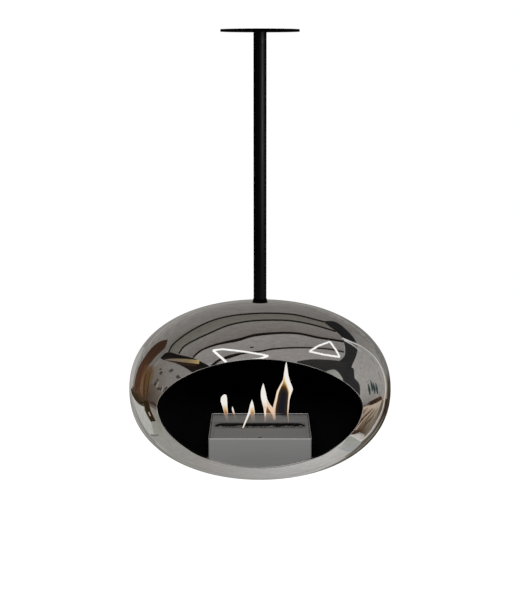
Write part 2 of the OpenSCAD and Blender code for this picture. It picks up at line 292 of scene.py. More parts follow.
class Wiring:
    """A node tree and short ways to add to it. A source is a value or another node's output."""

    def __init__(self, tree):
        self.tree = tree

    def feed(self, target, source):
        if isinstance(source, bpy.types.NodeSocket):
            self.tree.links.new(source, target)
        else:
            target.default_value = source

    def add(self, kind, **inputs):
        node = self.tree.nodes.new(kind)
        for key, source in inputs.items():
            self.feed(node.inputs[key.replace("_", " ")], source)
        return node

    def split(self, coordinates="Object"):
        """The X, Y and Z of the place."""
        place = self.add("ShaderNodeTexCoord").outputs[coordinates]
        return self.add("ShaderNodeSeparateXYZ", Vector=place).outputs

    def operate(self, kind, operation, *sources):
        node = self.add(kind)
        node.operation = operation
        for target, source in zip(node.inputs, sources):
            self.feed(target, source)
        return node.outputs

    def maths(self, operation, *sources):
        return self.operate("ShaderNodeMath", operation, *sources)["Value"]

    def span(self, source, start, end, first=0, last=1):
        """Runs from first to last as the source runs from start to end, and holds there."""
        return self.add("ShaderNodeMapRange", Value=source, From_Min=start, From_Max=end,
                        To_Min=first, To_Max=last).outputs["Result"]

    def ramp(self, source, *stops):
        """A colour that runs between two stops."""
        node = self.add("ShaderNodeValToRGB", Fac=source)
        for element, (position, colour) in zip(node.color_ramp.elements, stops):
            element.position = position
            element.color = (*colour, 1)
        return node.outputs["Color"]

    def mix(self, factor, below, above, blend="MIX"):
        """One colour laid over another."""
        node = self.add("ShaderNodeMix")
        node.data_type = "RGBA"
        node.blend_type = blend
        for key, source in (("Factor", factor), ("A", below), ("B", above)):
            self.feed(node.inputs[key], source)
        return node.outputs["Result"]


class Finish(Wiring):
    """A material, by the inputs of its surface."""

    def __init__(self, name, **surface):
        self.material = bpy.data.materials.new(name)
        self.material.use_nodes = True
        super().__init__(self.material.node_tree)
        self.surface = self.tree.nodes["Principled BSDF"]
        self.set(**surface)

    def set(self, **sources):
        for key, source in sources.items():
            self.feed(self.surface.inputs[key.replace("_", " ")], source)

    def noise(self, scale, detail=3, roughness=0.5, stretch=(1, 1, 1)):
        """Grain laid by object coordinates, stretched each way."""
        place = self.add("ShaderNodeTexCoord").outputs["Object"]
        stretched = self.add("ShaderNodeMapping", Vector=place, Scale=stretch).outputs["Vector"]
        return self.add("ShaderNodeTexNoise", Vector=stretched, Scale=scale, Detail=detail,
                        Roughness=roughness).outputs["Fac"]

    def shade(self, grain, dark, light, start=GRAIN_SPAN[0], end=GRAIN_SPAN[1]):
        """Runs the colour between two with a grain."""
        self.set(Base_Color=self.ramp(grain, (start, dark), (end, light)))

    def roughen(self, grain, low, high):
        self.set(Roughness=self.span(grain, *GRAIN_SPAN, low, high))

    def bump(self, grain, strength, distance):
        relief = self.add("ShaderNodeBump", Strength=strength, Distance=distance, Height=grain)
        self.set(Normal=relief.outputs["Normal"])

    def overlay(self, factor, colour, blend="MIX"):
        """Lays another colour over the surface's own."""
        own = self.surface.inputs["Base Color"].links[0].from_socket
        self.set(Base_Color=self.mix(factor, own, colour, blend))

    def tint(self, factor):
        """Multiplies the surface's colour."""
        self.overlay(1, factor, "MULTIPLY")

    def blackening(self, mask):
        """Blackens the surface and dulls its shine where the mask is 1. The casing and the top's edges take
        it as painted shade.
        """
        self.overlay(mask, (*grey(BLACKENED_LEVEL), 1))
        clean = self.surface.inputs["Metallic"].default_value
        self.set(Metallic=self.span(mask, 0, 1, clean, 0),
                 Specular_IOR_Level=self.span(mask, 0, 1, 0.5, 0.03))


def powder_coat():
    f = Finish("black_powder_coat", Specular_IOR_Level=0.1)
    grain = f.noise(900, 4)
    f.shade(grain, grey(0.0012), grey(0.002))
    f.roughen(f.noise(25), 0.42, 0.5)
    f.bump(grain, 0.1, 0.1 * MM)
    return f.material


def dark_chrome():
    f = Finish("dark_chrome", Base_Color=(*CHROME, 1), Metallic=1)
    f.roughen(f.noise(6, 2), CHROME_ROUGHNESS * 0.8, CHROME_ROUGHNESS * 1.2)
    return f.material


def heat_paint():
    f = Finish("black_heat_paint", Specular_IOR_Level=0.03)
    grain = f.noise(1200, 4)
    f.shade(grain, grey(0.0012), grey(0.0022))
    f.roughen(grain, 0.8, 0.95)
    f.bump(grain, 0.3, 0.1 * MM)
    grey_lip(f)
    return f.material


def grey_lip(f):
    """Steel grey along the lip's cut edge, in front of the burner only."""
    x, y, z = f.split()
    across = f.maths("ABSOLUTE", x)
    height = f.maths("ABSOLUTE", f.maths("SUBTRACT", z, BODY_MID.z - OPENING_DROP))
    # 1 on the curve that the opening is cut along
    curve = f.maths("ADD", *(f.maths("POWER", f.maths("DIVIDE", way, half), OPENING_FORM)
                             for way, half in ((across, OPENING_HALF_W), (height, OPENING_HALF_H))))
    lip_mask = [f.span(source, full, none, 1, 0) for source, full, none in (
        (curve, 1.002, 1.006), (y, -0.07, -0.06), (across, 0.098, 0.106))]
    f.overlay(f.maths("MULTIPLY", f.maths("MULTIPLY", lip_mask[0], lip_mask[1]), lip_mask[2]), (*grey(LIP_GREY), 1))


def brushed_steel(name, level, warm, metallic=0.1, roughness=0.6):
    """Satin steel with fine brush lines and soft heat-dulled patches."""
    f = Finish(name, Metallic=metallic)
    lines = f.noise(1, 3, 0.6, stretch=(12, 900, 900))
    patchy = f.add("ShaderNodeMix", Factor=0.3, A=lines, B=f.noise(14)).outputs["Result"]
    f.shade(patchy, grey(level * 0.93, warm), grey(level * 1.07, warm))
    f.roughen(lines, roughness - 0.05, roughness + 0.05)
    f.bump(lines, 0.12, 0.05 * MM)
    return f


def casing_steel():
    """The casing's steel: a painted highlight brightens its lip, painted shade darkens it towards its foot
    and painted shadow blackens it down inside.
    """
    low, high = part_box("burner_casing")
    middle, half = (low + high) / 2, (high - low) / 2
    sheet = 1.3 * MM
    f = brushed_steel("casing_steel", 0.183, 0.012)
    x, y, z = f.split()
    # Painted highlight: the colour lifted along the lip
    f.tint(f.span(z, high.z - 2.2 * MM, high.z - 0.8 * MM, 1, 2.1))
    # Painted shade: darker towards the foot
    f.tint(f.span(z, high.z - 46 * MM, high.z - 4 * MM, 0.85, 1))
    # Painted shadow: the inner faces below the lip are blackened
    inside = f.maths("LESS_THAN", z, high.z - 1.2 * MM)
    for way, mid, limit in ((x, middle.x, half.x - sheet), (y, middle.y, half.y - sheet)):
        within = f.maths("LESS_THAN", f.maths("ABSOLUTE", f.maths("SUBTRACT", way, mid)), limit)
        inside = f.maths("MINIMUM", inside, within)
    f.blackening(inside)
    return f.material


def top_steel():
    """The top's steel, darker round the flames, with painted shade black along its upright edges."""
    low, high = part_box("wool_basket")
    half = (high - low) / 2
    f = brushed_steel("burner_top_steel", 0.315, 0.03)
    place = f.add("ShaderNodeTexCoord").outputs["Object"]
    for operation, by in (("SUBTRACT", (0, SLOT_Y, high.z)), ("ABSOLUTE", (0, 0, 0)),
                          ("SUBTRACT", (half.x - 16 * MM, half.y - 4.2 * MM, 1)), ("MAXIMUM", (0, 0, 0))):
        place = f.operate("ShaderNodeVectorMath", operation, place, by)["Vector"]
    away = f.operate("ShaderNodeVectorMath", "LENGTH", place)["Value"]
    # Darker round the slot
    f.blackening(f.span(away, 0, 17 * MM, 0.5, 0))
    # Painted shade: the upright faces are blackened
    facing = f.add("ShaderNodeNewGeometry").outputs["True Normal"]
    f.blackening(f.span(f.add("ShaderNodeSeparateXYZ", Vector=facing).outputs["Z"], 0.75, 0.5))
    return f.material


def turned_metal(name, colour, roughness):
    """Bright metal with a fine machined grain."""
    f = Finish(name, Metallic=1)
    grain = f.noise(1, 2, stretch=(60, 60, 2500))
    f.shade(grain, [c * 0.88 for c in colour], colour)
    f.roughen(grain, roughness - 0.05, roughness + 0.07)
    return f.material


def sooted_steel():
    """Steel burnt black by the flames above it."""
    f = Finish("sooted_steel", Specular_IOR_Level=0.05, Roughness=0.9)
    f.shade(f.noise(90, 4), grey(0.0008), grey(0.006, 0.1), end=0.75)
    return f.material


def grey_wool():
    """Ceramic wool, dark grey and paler towards both ends."""
    f = Finish("ceramic_wool", Specular_IOR_Level=0.01, Roughness=1)
    fibre = f.noise(240, 6, 0.7)
    f.shade(fibre, grey(0.01), grey(0.28, 0.04), 0.38, 0.64)
    # Paler towards both ends
    f.tint(f.span(f.maths("ABSOLUTE", f.split()["X"]), 0.06, 0.085, 1, 1.15))
    f.bump(fibre, 0.9, FIBRE_RELIEF)
    return f.material


def pad_ceramic():
    """Matt ceramic fibre."""
    colour = (0.72, 0.7, 0.65)
    f = Finish("pad_ceramic", Specular_IOR_Level=0.2)
    fibre = f.noise(300, 6, 0.7, stretch=(1, 2.5, 1))
    f.shade(fibre, [c * 0.72 for c in colour], colour, end=0.68)
    f.roughen(fibre, 0.85, 1)
    f.bump(fibre, 0.3, FIBRE_RELIEF)
    return f.material


def painted_glow(name, mottle=0.0):
    """Light that lets other light through, by the colour and cover painted on each piece."""
    f = Finish(name)
    f.tree.nodes.remove(f.surface)
    paint = f.add("ShaderNodeAttribute")
    paint.attribute_name = "Glow"
    strength = f.span(f.noise(2.2, 5, 0.65), *GRAIN_SPAN, 1 - mottle, 1 + mottle) if mottle else 1
    shine = f.add("ShaderNodeEmission", Color=paint.outputs["Color"], Strength=strength)
    mix = f.add("ShaderNodeMixShader", Fac=paint.outputs["Alpha"])
    f.feed(mix.inputs[1], f.add("ShaderNodeBsdfTransparent").outputs["BSDF"])
    f.feed(mix.inputs[2], shine.outputs["Emission"])
    f.feed(f.tree.nodes["Material Output"].inputs["Surface"], mix.outputs["Shader"])
    return f.material


SLOT_Y = sum(corner.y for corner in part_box("wool_basket")) / 2

FINISHES = {
    "black_paint": powder_coat(),
    "dark_chrome": dark_chrome(),
    "heat_black": heat_paint(),
    "tank_steel": brushed_steel("tank_steel", 0.4, 0, 0.9, 0.35).material,
    "casing_steel": casing_steel(),
    "top_steel": top_steel(),
    "bearing_steel": turned_metal("bearing_steel", (0.6, 0.6, 0.61), 0.16),
    "cage_brass": turned_metal("cage_brass", (0.66, 0.47, 0.2), 0.3),
    "zinc_steel": turned_metal("zinc_plate", (0.56, 0.57, 0.59), 0.33),
    "pad_ceramic": pad_ceramic(),
    "wool": grey_wool(),
    "flame": painted_glow("glowing_air"),
}


def dress_frame():
    """Gives each frame node the finish of its slot, and the basket its sooted steel."""
    for subpart in frame["record"]["subparts"]:
        dress(NODES[subpart["node"]].data, FINISHES[subpart["material_slot"]])
    dress(NODES["wool_basket"].data, sooted_steel())


# ---- The body ----

RIM_STEPS = 288
BODY_ROWS = 110
EDGE_TURN = 1.2 * MM
# The opening is blunter at both ends and lower at its lower corners than the curve, and these say where
BLUNT_END = 2.4 * MM
BLUNT_AT, BLUNT_SPREAD = 0.14, 0.24
CORNER_DROP = 2.4 * MM
CORNER_AT, CORNER_SPREAD = 0.62, 0.13
# The rim is drawn thicker in front of the burner, where it covers the liner's lip
EDGE_T = 3.4 * MM
THIN_EDGE_T = 2.2 * MM
FULL_EDGE_TO = 124 * MM
EDGE_TAPER = 30 * MM
# The second row lies this share of the way back from the rim, and holds the edge's round
HOLDING_ROW = 0.001


def outer_shell():
    """The oval shell, drawn from the opening's rim round to the back."""

    def at(u, v):
        turn = -2 * math.pi * u
        x, z = oval_point(OPENING_HALF_W + EDGE_TURN, OPENING_HALF_H + EDGE_TURN, OPENING_FORM, turn)
        x += math.copysign(BLUNT_END * bell(z / OPENING_HALF_H, BLUNT_AT, BLUNT_SPREAD), x)
        if z < 0:
            z -= CORNER_DROP * bell(abs(x) / OPENING_HALF_W, CORNER_AT, CORNER_SPREAD)
        z -= OPENING_DROP
        ring = BODY_R * (1 - (abs(z) / BODY_HALF) ** BODY_FORM) ** (1 / BODY_FORM)
        side = Vector((x, 0, z)).normalized()
        rim_angle = math.atan2(math.hypot(x, z), -math.sqrt(ring * ring - x * x))
        row = round(v * BODY_ROWS)
        share = HOLDING_ROW + (1 - HOLDING_ROW) * (row - 1) / (BODY_ROWS - 1) if row else 0
        angle = rim_angle * (1 - share)
        return on_form(side * math.sin(angle) + Vector((0, math.cos(angle), 0)))

    shell = laid_grid("oval_shell", RIM_STEPS, BODY_ROWS, at)
    edit(shell, merge(), face_outwards)
    full = shell.vertex_groups.new(name="full_edge")
    for v in shell.data.vertices:
        low_front = v.co.z < BODY_MID.z and v.co.y < 0
        full.add([v.index], held((FULL_EDGE_TO - abs(v.co.x)) / EDGE_TAPER) if low_front else 0, "REPLACE")
    modify(shell, "SOLIDIFY", thickness=EDGE_T, offset=-1, use_even_offset=True, vertex_group=full.name,
           thickness_vertex_group=THIN_EDGE_T / EDGE_T)
    soften(shell, 0.9 * MM, 4, 60)
    finish_piece(shell, "dark_chrome", "hanging_body", "outer_shell")
    return shell


# ---- Ceiling plate, pole and collar ----

POLE_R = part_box("pole_tube")[1].x
POLE_WALL = 2.6 * MM
# The visible tube is this much longer and closes the joint under the socket
POLE_JOINT = 0.4 * MM
PLATE_ROUND = 0.4 * MM
COLLAR_CLEARANCE = 0.05 * MM
COLLAR_BRIM = 1 * MM
COLLAR_ROWS = 12
INSIDE_POLE = ("bearing_lower_race", "bearing_balls", "bearing_cage", "bearing_upper_race", "swivel_washer",
               "swivel_bolt", "swivel_lock_nut", "pole_top_plug", "pole_bottom_plug", "hang_bolt")


def pole():
    low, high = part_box("pole_tube")
    inner = POLE_R - POLE_WALL
    top = high.z + POLE_JOINT
    tube = turned("pole", [(inner, low.z), (POLE_R, low.z), (POLE_R, top), (inner, top)])
    soften(tube, 0.25 * MM)
    finish_piece(tube, "black_paint", "hanging_body", "pole_tube")
    hide_from(tube, "glossy")


def flared_collar():
    """A ring that flares out to meet the body."""
    low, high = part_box("collar_ring")
    inner = POLE_R + COLLAR_CLEARANCE
    flare, rise = high.x - inner - COLLAR_BRIM, high.z - low.z - COLLAR_BRIM
    profile = [(inner, low.z), (high.x, low.z)]
    for row in range(COLLAR_ROWS + 1):
        share = row / COLLAR_ROWS
        profile.append((inner + COLLAR_BRIM + flare * (1 - share) ** 4, low.z + COLLAR_BRIM + rise * share))
    profile.append((inner, high.z))
    collar = turned("flared_collar", profile)
    soften(collar, 0.2 * MM, angle=50)
    finish_piece(collar, "black_paint", "hanging_body", "collar_ring")
    hide_from(collar, "glossy")


def ceiling_pieces():
    for node, name in (("ceiling_plate", "ceiling_disc"), ("hanger_socket", "swivel_socket")):
        piece = copied(node, name)
        soften(piece, PLATE_ROUND)
        flatten(piece)
        finish_piece(piece, "black_paint", "ceiling_mount", node)
        hide_from(piece, "glossy")


# ---- Burner ----

# How far the top's edges are brought out across and along, close to the casing's walls
TOP_SPREAD = (1.9 * MM, 2.1 * MM)
WOOL_LUMPS = 2.2 * MM
WOOL_END_HEAP = 2.6 * MM
WOOL_END_AT, WOOL_END_TAPER = 78 * MM, 8 * MM


def burner_pieces():
    """The sheet pieces, with the small rounds that catch the light along their edges."""
    for node, name, body, slot, edge in (
            ("burner_casing", "burner_box", "hanging_body", "casing_steel", 0.5),
            ("tank_top", "burner_top", "burner", "top_steel", 0.15),
            ("lid_rail_left", "left_rail", "burner", "top_steel", 0.2),
            ("lid_rail_right", "right_rail", "burner", "top_steel", 0.2),
            ("sliding_lid", "slot_lid", "lid", "top_steel", 0.12)):
        piece = copied(node, name)
        if node == "tank_top":
            spread(piece)
        soften(piece, edge * MM, 3)
        flatten(piece)
        finish_piece(piece, slot, body, node)


def spread(top):
    """Brings the top's edges out, as they look in the real one."""
    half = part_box("tank_top")[1]
    for v in top.data.vertices:
        for way, more in enumerate(TOP_SPREAD):
            if abs(v.co[way]) > half[way] - 1 * MM:
                v.co[way] += math.copysign(more, v.co[way])


def fibre_wool():
    """The wool under the slot, its top teased up into fibres and heaped at both ends."""
    piece = copied("ceramic_wool", "fibre_wool")
    modify(piece, "REMESH", mode="VOXEL", voxel_size=1.6 * MM)
    for v in piece.data.vertices:
        if v.co.z > WOOL_TOP - 1 * MM:
            lump = noise.noise(v.co * 90) + 0.6 * noise.noise(v.co * 260) + 0.3
            heap = held((abs(v.co.x) - WOOL_END_AT) / WOOL_END_TAPER)
            v.co.z += WOOL_LUMPS * lump + WOOL_END_HEAP * heap
    smooth(piece, 60)
    finish_piece(piece, "wool", "burner", "ceramic_wool")


# ---- Flames ----

WOOL_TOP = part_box("ceramic_wool")[1].z

# Outlines as picture points from the root up to the tip, left edge and right edge
FLAME_OUTLINES = {
    "flame_far_left": (
        [(226.4, 422), (225.6, 418), (224.5, 414.2), (223.5, 410), (222, 405.1), (220.8, 401.3),
         (221.2, 397.6), (223, 395.2), (225, 394.2)],
        [(228.6, 422), (228.4, 418), (228, 414.2), (227.8, 411.2), (227.5, 405.7), (227.2, 400), (227, 397.4),
         (226.3, 395.2), (225, 394.2)]),
    "flame_small": (
        [(234.8, 421), (234.2, 417), (233.5, 414.2), (232.6, 411.8), (232, 408.8), (232.4, 406.2)],
        [(236.2, 421), (235.9, 417), (235.3, 414.2), (234.5, 412), (233.4, 408.4), (232.4, 406.2)]),
    "flame_middle_back": (
        [(251.4, 422), (250.6, 416), (249.8, 411), (250.2, 406), (251, 402.6), (252, 399.6)],
        [(255, 422), (254.9, 416), (254.6, 410.4), (253.8, 405.4), (253, 402), (252, 399.6)]),
    "flame_middle_leg": (
        [(242, 429), (244.4, 422.4), (246.8, 416.2), (248.8, 410.6), (250.2, 404.6), (251.8, 400.4)],
        [(243, 429), (246, 422.8), (248.8, 416.8), (250.8, 411.6), (252, 406.8), (251.8, 400.4)]),
    "flame_tall_left": (
        [(264.4, 422), (264.4, 418), (264.3, 413.4), (263.7, 408.8), (262.5, 403.6), (261.2, 398.2),
         (260.9, 393.6), (261.5, 388.8), (263.4, 383)],
        [(266.4, 422), (266.3, 418), (266.2, 413.4), (266.5, 409), (267.4, 404.6), (267.2, 399), (266.2, 394),
         (265.1, 388.8), (263.4, 383)]),
    "flame_valley": (
        [(265, 398.4), (266.4, 404), (268.4, 408), (270.6, 411.6), (272.4, 415), (273.4, 420)],
        [(266.4, 396.4), (268, 400.6), (270.2, 404.4), (272.6, 407.4), (275, 411), (275.6, 420)]),
    "flame_valley_glow": (
        [(266, 420), (266, 415), (266, 411), (266.2, 407.6), (266.8, 404.6)],
        [(273.4, 420), (272, 415), (270.2, 411.6), (268.4, 408), (266.8, 404.6)]),
}
# The widest flame stands like an arch. Its edges run from the left foot over the top to the right one
ARCH_OUTER = [(273.8, 421), (272.4, 412.4), (273.4, 405.6), (275.3, 398.4), (276.8, 391.8), (279.6, 386),
              (283, 379.6), (284.2, 373), (285.2, 366.4), (286.4, 362), (287.3, 366.4), (288.6, 375.4),
              (290.6, 382.4), (292.9, 388.8), (291.3, 394), (289.7, 400), (288.9, 408), (288.4, 414.8),
              (289.2, 423)]
ARCH_INNER = [(276.2, 421), (275.5, 412.4), (276, 406.4), (277.5, 399.8), (278.8, 393.6), (280.6, 388.6),
              (281.8, 386.2), (282.8, 385.2), (283.6, 384.7), (284.3, 384.6), (285, 385), (286, 386.4),
              (287.2, 389.4), (288, 392.6), (288.1, 396.4), (287.9, 401.4), (287.5, 408), (287.5, 414.8),
              (288.6, 423)]

CREAM = (0.87, 0.83, 0.77)
BLUSH = (0.78, 0.55, 0.4)
HONEY = (0.68, 0.44, 0.17)
RUST = (0.36, 0.15, 0.055)
AMBER = (0.3, 0.15, 0.04)
BROWN = (0.12, 0.055, 0.016)
EMBER = (0.035, 0.02, 0.01)
NIGHT = (0.01, 0.011, 0.016)


# Stops of height, colour at the edges, colour at the heart and cover
FLAME_COLOURS = {
    "flame_far_left": (
        (0, BLUSH, BLUSH, 0), (0.24, BLUSH, BLUSH, 0.12), (0.27, HONEY, RUST, 0.8), (0.34, CREAM, RUST, 0.9),
        (0.42, CREAM, HONEY, 1), (0.53, CREAM, CREAM, 1), (1, CREAM, CREAM, 1)),
    "flame_small": (
        (0, BLUSH, BLUSH, 0), (0.38, BLUSH, BLUSH, 0.08), (0.44, CREAM, RUST, 0.6), (0.6, CREAM, BLUSH, 0.9),
        (0.78, CREAM, CREAM, 0.9), (1, CREAM, CREAM, 0.9)),
    "flame_middle_leg": (
        (0, BLUSH, CREAM, 0.75), (0.3, BLUSH, CREAM, 0.9), (0.6, CREAM, CREAM, 1), (1, CREAM, CREAM, 1)),
    "flame_middle_back": (
        (0, BLUSH, BLUSH, 0), (0.24, BLUSH, BLUSH, 0.12), (0.3, CREAM, RUST, 0.8), (0.42, CREAM, HONEY, 0.9),
        (0.58, CREAM, CREAM, 1), (1, CREAM, CREAM, 1)),
    "flame_tall_left": (
        (0, BLUSH, BLUSH, 0), (0.16, BLUSH, BLUSH, 0.2), (0.26, BLUSH, CREAM, 0.85), (0.42, CREAM, BLUSH, 1),
        (0.56, CREAM, CREAM, 1), (1, CREAM, CREAM, 1)),
    "flame_valley": (
        (0, CREAM, CREAM, 1), (0.3, CREAM, BLUSH, 1), (0.7, BLUSH, BLUSH, 0.9), (0.84, BLUSH, BLUSH, 0.35),
        (1, BLUSH, BLUSH, 0)),
    "flame_valley_glow": (
        (0, BLUSH, BLUSH, 0), (0.25, BLUSH, BLUSH, 0.1), (0.42, RUST, BROWN, 0.9), (0.8, HONEY, RUST, 0.95),
        (1, HONEY, HONEY, 0.9)),
}


def between(stops, t):
    """The values at t of stops given as (t, values), in straight runs from one to the next."""
    for (t0, a), (t1, b) in zip(stops, stops[1:]):
        if t <= t1:
            f = max(0.0, (t - t0) / (t1 - t0))
            return [x + (y - x) * f for x, y in zip(a, b)]
    return list(stops[-1][1])


def level(t, *stops):
    """The number at t of stops given as (t, number)."""
    return between([(at, (value,)) for at, value in stops], t)[0]


def curve_through(points, t):
    """A smooth curve through picture points, t from 0 to 1 by the count of points."""
    spans = len(points) - 1
    i = min(int(t * spans), spans - 1)
    f = t * spans - i

    def passing(a, b, c, d):
        bend, turn = 2 * a - 5 * b + 4 * c - d, 3 * b - a - 3 * c + d
        return 0.5 * (2 * b + (c - a) * f + bend * f * f + turn * f ** 3)

    return tuple(passing(*four) for four in zip(*(points[min(max(i + k, 0), spans)] for k in (-1, 0, 1, 2))))


def paint_glow(piece, colour_at):
    """Paints the glow from each corner's place across and along the flame."""
    glow = piece.data.color_attributes.new("Glow", "FLOAT_COLOR", "CORNER")
    for spot, corner in zip(piece.data.uv_layers.active.data, glow.data):
        corner.color = colour_at(*spot.uv)


def lick(name, left, right, colour_at, y=SLOT_Y, thick=0.5, rows=40, ring=16):
    """One lick of flame: rings between its left and right edge, drawn in to a point at both ends."""

    def at(u, v):
        a = upright_point(*curve_through(left, v), y)
        b = upright_point(*curve_through(right, v), y)
        middle, half = (a + b) / 2, (b - a) / 2
        turn = 2 * math.pi * u
        open_here = v not in (0, 1)
        out = Vector((0, half.length * thick * math.sin(turn), 0))
        return middle + (half * math.cos(turn) + out) * open_here

    piece = laid_grid(name, ring, rows, at)
    paint_glow(piece, colour_at)
    edit(piece, merge(1e-6), face_outwards)
    smooth(piece, 180)
    finish_piece(piece, "flame", "burner")
    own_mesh(piece)
    hide_from(piece, "glossy", "shadow")


def flame_colour(*stops):
    """The colour and cover of a plain lick anywhere on it, from its stops."""
    edges, heart, cover = ([(stop[0], stop[k]) for stop in stops] for k in (1, 2, 3))

    def colour_at(u, v):
        across = math.cos(2 * math.pi * u) ** 4
        tint = [b + (a - b) * across for a, b in zip(between(edges, v), between(heart, v))]
        return (*tint, level(v, *cover))

    return colour_at


def arch_colour(u, v):
    """The arch's glow: cream outside, honey and brown inside, fading down both legs."""
    inner = (1 + math.cos(2 * math.pi * u)) / 2
    height = 1 - abs(v - 0.5) * 2
    outside = HONEY if v < 0.3 else CREAM if v > 0.4 else between([(0.3, HONEY), (0.4, CREAM)], v)
    rise = level(v, (0.3, 0.62), (0.4, 0.3), (0.46, 0.4), (0.5, 0.7), (0.54, 0.72), (0.6, 0.66))
    stops = [(0, outside), (rise * 0.5, CREAM), (rise, CREAM), (rise + (1 - rise) * 0.5, HONEY), (1, BROWN)]
    warm = level(height, (0, 0), (0.25, 0.4), (0.45, 1), (1, 1))
    tint = [c * warm + a * (1 - warm) for c, a in zip(between(stops, inner), BLUSH)]
    return (*tint, level(height, (0, 0), (0.1, 0.3), (0.2, 0.9), (1, 1)))


def veil_colour(u, v):
    """The thin air inside the arch: brown under its top and along its sides, dark at its heart."""
    across = abs(math.cos(2 * math.pi * u)) ** 3
    heart = between([(0, NIGHT), (0.5, NIGHT), (0.62, EMBER), (0.76, BROWN), (0.9, AMBER), (1, HONEY)], v)
    side = between([(0, (0.05, 0.026, 0.008)), (0.5, (0.06, 0.03, 0.01)), (0.68, BROWN), (0.84, AMBER),
                    (1, HONEY)], v)
    tint = [a + (b - a) * across for a, b in zip(heart, side)]
    return (*tint, level(v, (0, 0), (0.085, 0), (0.115, 0.95), (1, 1)))


def flames():
    """Seven plain licks, the arch and the thin air inside it."""
    for name, (left, right) in FLAME_OUTLINES.items():
        flat = name == "flame_valley_glow"
        lick(name, left, right, flame_colour(*FLAME_COLOURS[name]), thick=0.1 if flat else 0.5)
    lick("flame_arch", ARCH_OUTER, ARCH_INNER, arch_colour, rows=110)
    half = len(ARCH_INNER) // 2
    lick("flame_veil", ARCH_INNER[:half + 1], ARCH_INNER[:half - 1:-1], veil_colour, thick=0.12)


add_camera()
dress_frame()
for name in INSIDE_POLE:
    hide_from(NODES[name], "glossy")
shell = outer_shell()
pole()
flared_collar()
ceiling_pieces()
burner_pieces()
fibre_wool()
flames()

# ---- What the body mirrors ----

STUDIO_R = 10
LAYER_GAP = 0.1
BODY_IN_PICTURE = (260.1, 389)
# A picture point that misses the body is drawn in, this share of the way at a time
PULL, PULL_STEPS = 0.003, 60
HIT = 0.9995
SEARCH_STEPS = 40


def body_point(px, py):
    """Where the line of sight through a picture point meets the body's form. A miss is drawn in to it."""
    for i in range(PULL_STEPS):
        pull = 1 - PULL * i
        x, y = (c + (p - c) * pull for c, p in zip(BODY_IN_PICTURE, (px, py)))
        ray = sight(x, y)
        middle = (BODY_MID - CAMERA_AT).dot(ray)
        near, far = middle - BODY_R, middle + BODY_R
        for _ in range(SEARCH_STEPS):
            a, b = near + (far - near) / 3, far - (far - near) / 3
            if form_value(CAMERA_AT + ray * a) < form_value(CAMERA_AT + ray * b):
                far = b
            else:
                near = a
        if form_value(CAMERA_AT + ray * near) < HIT:
            break
    outside, inside = middle - 2 * BODY_R, near
    for _ in range(SEARCH_STEPS):
        half = (outside + inside) / 2
        if form_value(CAMERA_AT + ray * half) > 1:
            outside = half
        else:
            inside = half
    return CAMERA_AT + ray * inside, ray


def mirrored(px, py, reach=STUDIO_R):
    """The place in the studio that the body shows at a picture point, and how much light comes back."""
    spot, ray = body_point(px, py)
    normal = form_normal(spot)
    facing = max(0.0, -ray.dot(normal))
    out = ray + normal * (2 * facing)
    q = spot - BODY_MID
    along = q.dot(out)
    distance = math.sqrt(along * along - q.length_squared + reach * reach) - along
    edge_on = (1 - facing) ** 5
    return spot + out * distance, [c + (1 - c) * edge_on for c in CHROME]


def linear(shade):
    """A shade given from 0 to 255 as the screen shows it, turned into light."""
    return [((c / 255 + 0.055) / 1.055) ** 2.4 if c > 10 else c / 255 / 12.92 for c in shade]


def spaced(values, t):
    """The value at t of a list of evenly spaced ones; a lone value holds everywhere."""
    if not isinstance(values, list):
        return values
    i = min(int(t * (len(values) - 1)), len(values) - 2)
    f = t * (len(values) - 1) - i
    a, b = values[i], values[i + 1]
    return tuple(p + (q - p) * f for p, q in zip(a, b)) if isinstance(a, tuple) else a + (b - a) * f


def glowing_stage(piece, glow_at):
    """Paints a piece of the studio that only the shell shows."""
    paint_glow(piece, glow_at)
    piece.data.materials.append(CARD_GLOW)
    hide_from(piece, "camera", "diffuse", "shadow", "transmission", "volume_scatter")
    piece.light_linking.receiver_collection = MIRROR_ONLY


def stage_card(name, picture_at, shade_at, layer, across, along):
    """A glowing card on the studio's wall, laid so that the camera sees it mirrored at picture_at(u, v)."""
    reach = STUDIO_R - LAYER_GAP * layer
    piece = laid_grid(name, across, along, lambda u, v: mirrored(*picture_at(u, v), reach)[0])
    known = {}

    def glow_at(u, v):
        key = (round(u, 5), round(v, 5))
        if key not in known:
            *shade, cover = (*shade_at(u, v), 1)[:4]
            returned = mirrored(*picture_at(u, v))[1]
            known[key] = (*(a / b for a, b in zip(linear(shade), returned)), cover)
        return known[key]

    glowing_stage(piece, glow_at)


def between_curves(upper, lower):
    """A place in the picture at (u, v): u along two curves, v from the upper to the lower."""

    def picture_at(u, v):
        (ax, ay), (bx, by) = curve_through(upper, u), curve_through(lower, u)
        return ax + (bx - ax) * v, ay + (by - ay) * v

    return picture_at


def card(name, upper, lower, shade, to, layer=1, across=36, along=6):
    """A card between two picture curves, its shade at the upper one running to another at the lower.

    A shade may be a list, spaced along the curve, and its fourth value is its cover.
    """

    def shade_at(u, v):
        a, b = ((*spaced(tone, u), 1)[:4] for tone in (shade, to))
        return [p + (q - p) * v for p, q in zip(a, b)]

    stage_card(name, between_curves(upper, lower), shade_at, layer, across, along)


def ribbon(name, points, width, shade, layer=3, across=40):
    """A strip along a picture curve. Its width and shade may be lists, spaced along it."""

    def picture_at(u, v):
        x, y = curve_through(points, u)
        ahead, behind = curve_through(points, min(1, u + 0.01)), curve_through(points, max(0, u - 0.01))
        run = Vector((ahead[0] - behind[0], ahead[1] - behind[1])).normalized()
        off = (v - 0.5) * spaced(width, u)
        return x - run.y * off, y + run.x * off

    stage_card(name, picture_at, lambda u, v: spaced(shade, u), layer=layer, across=across, along=1)


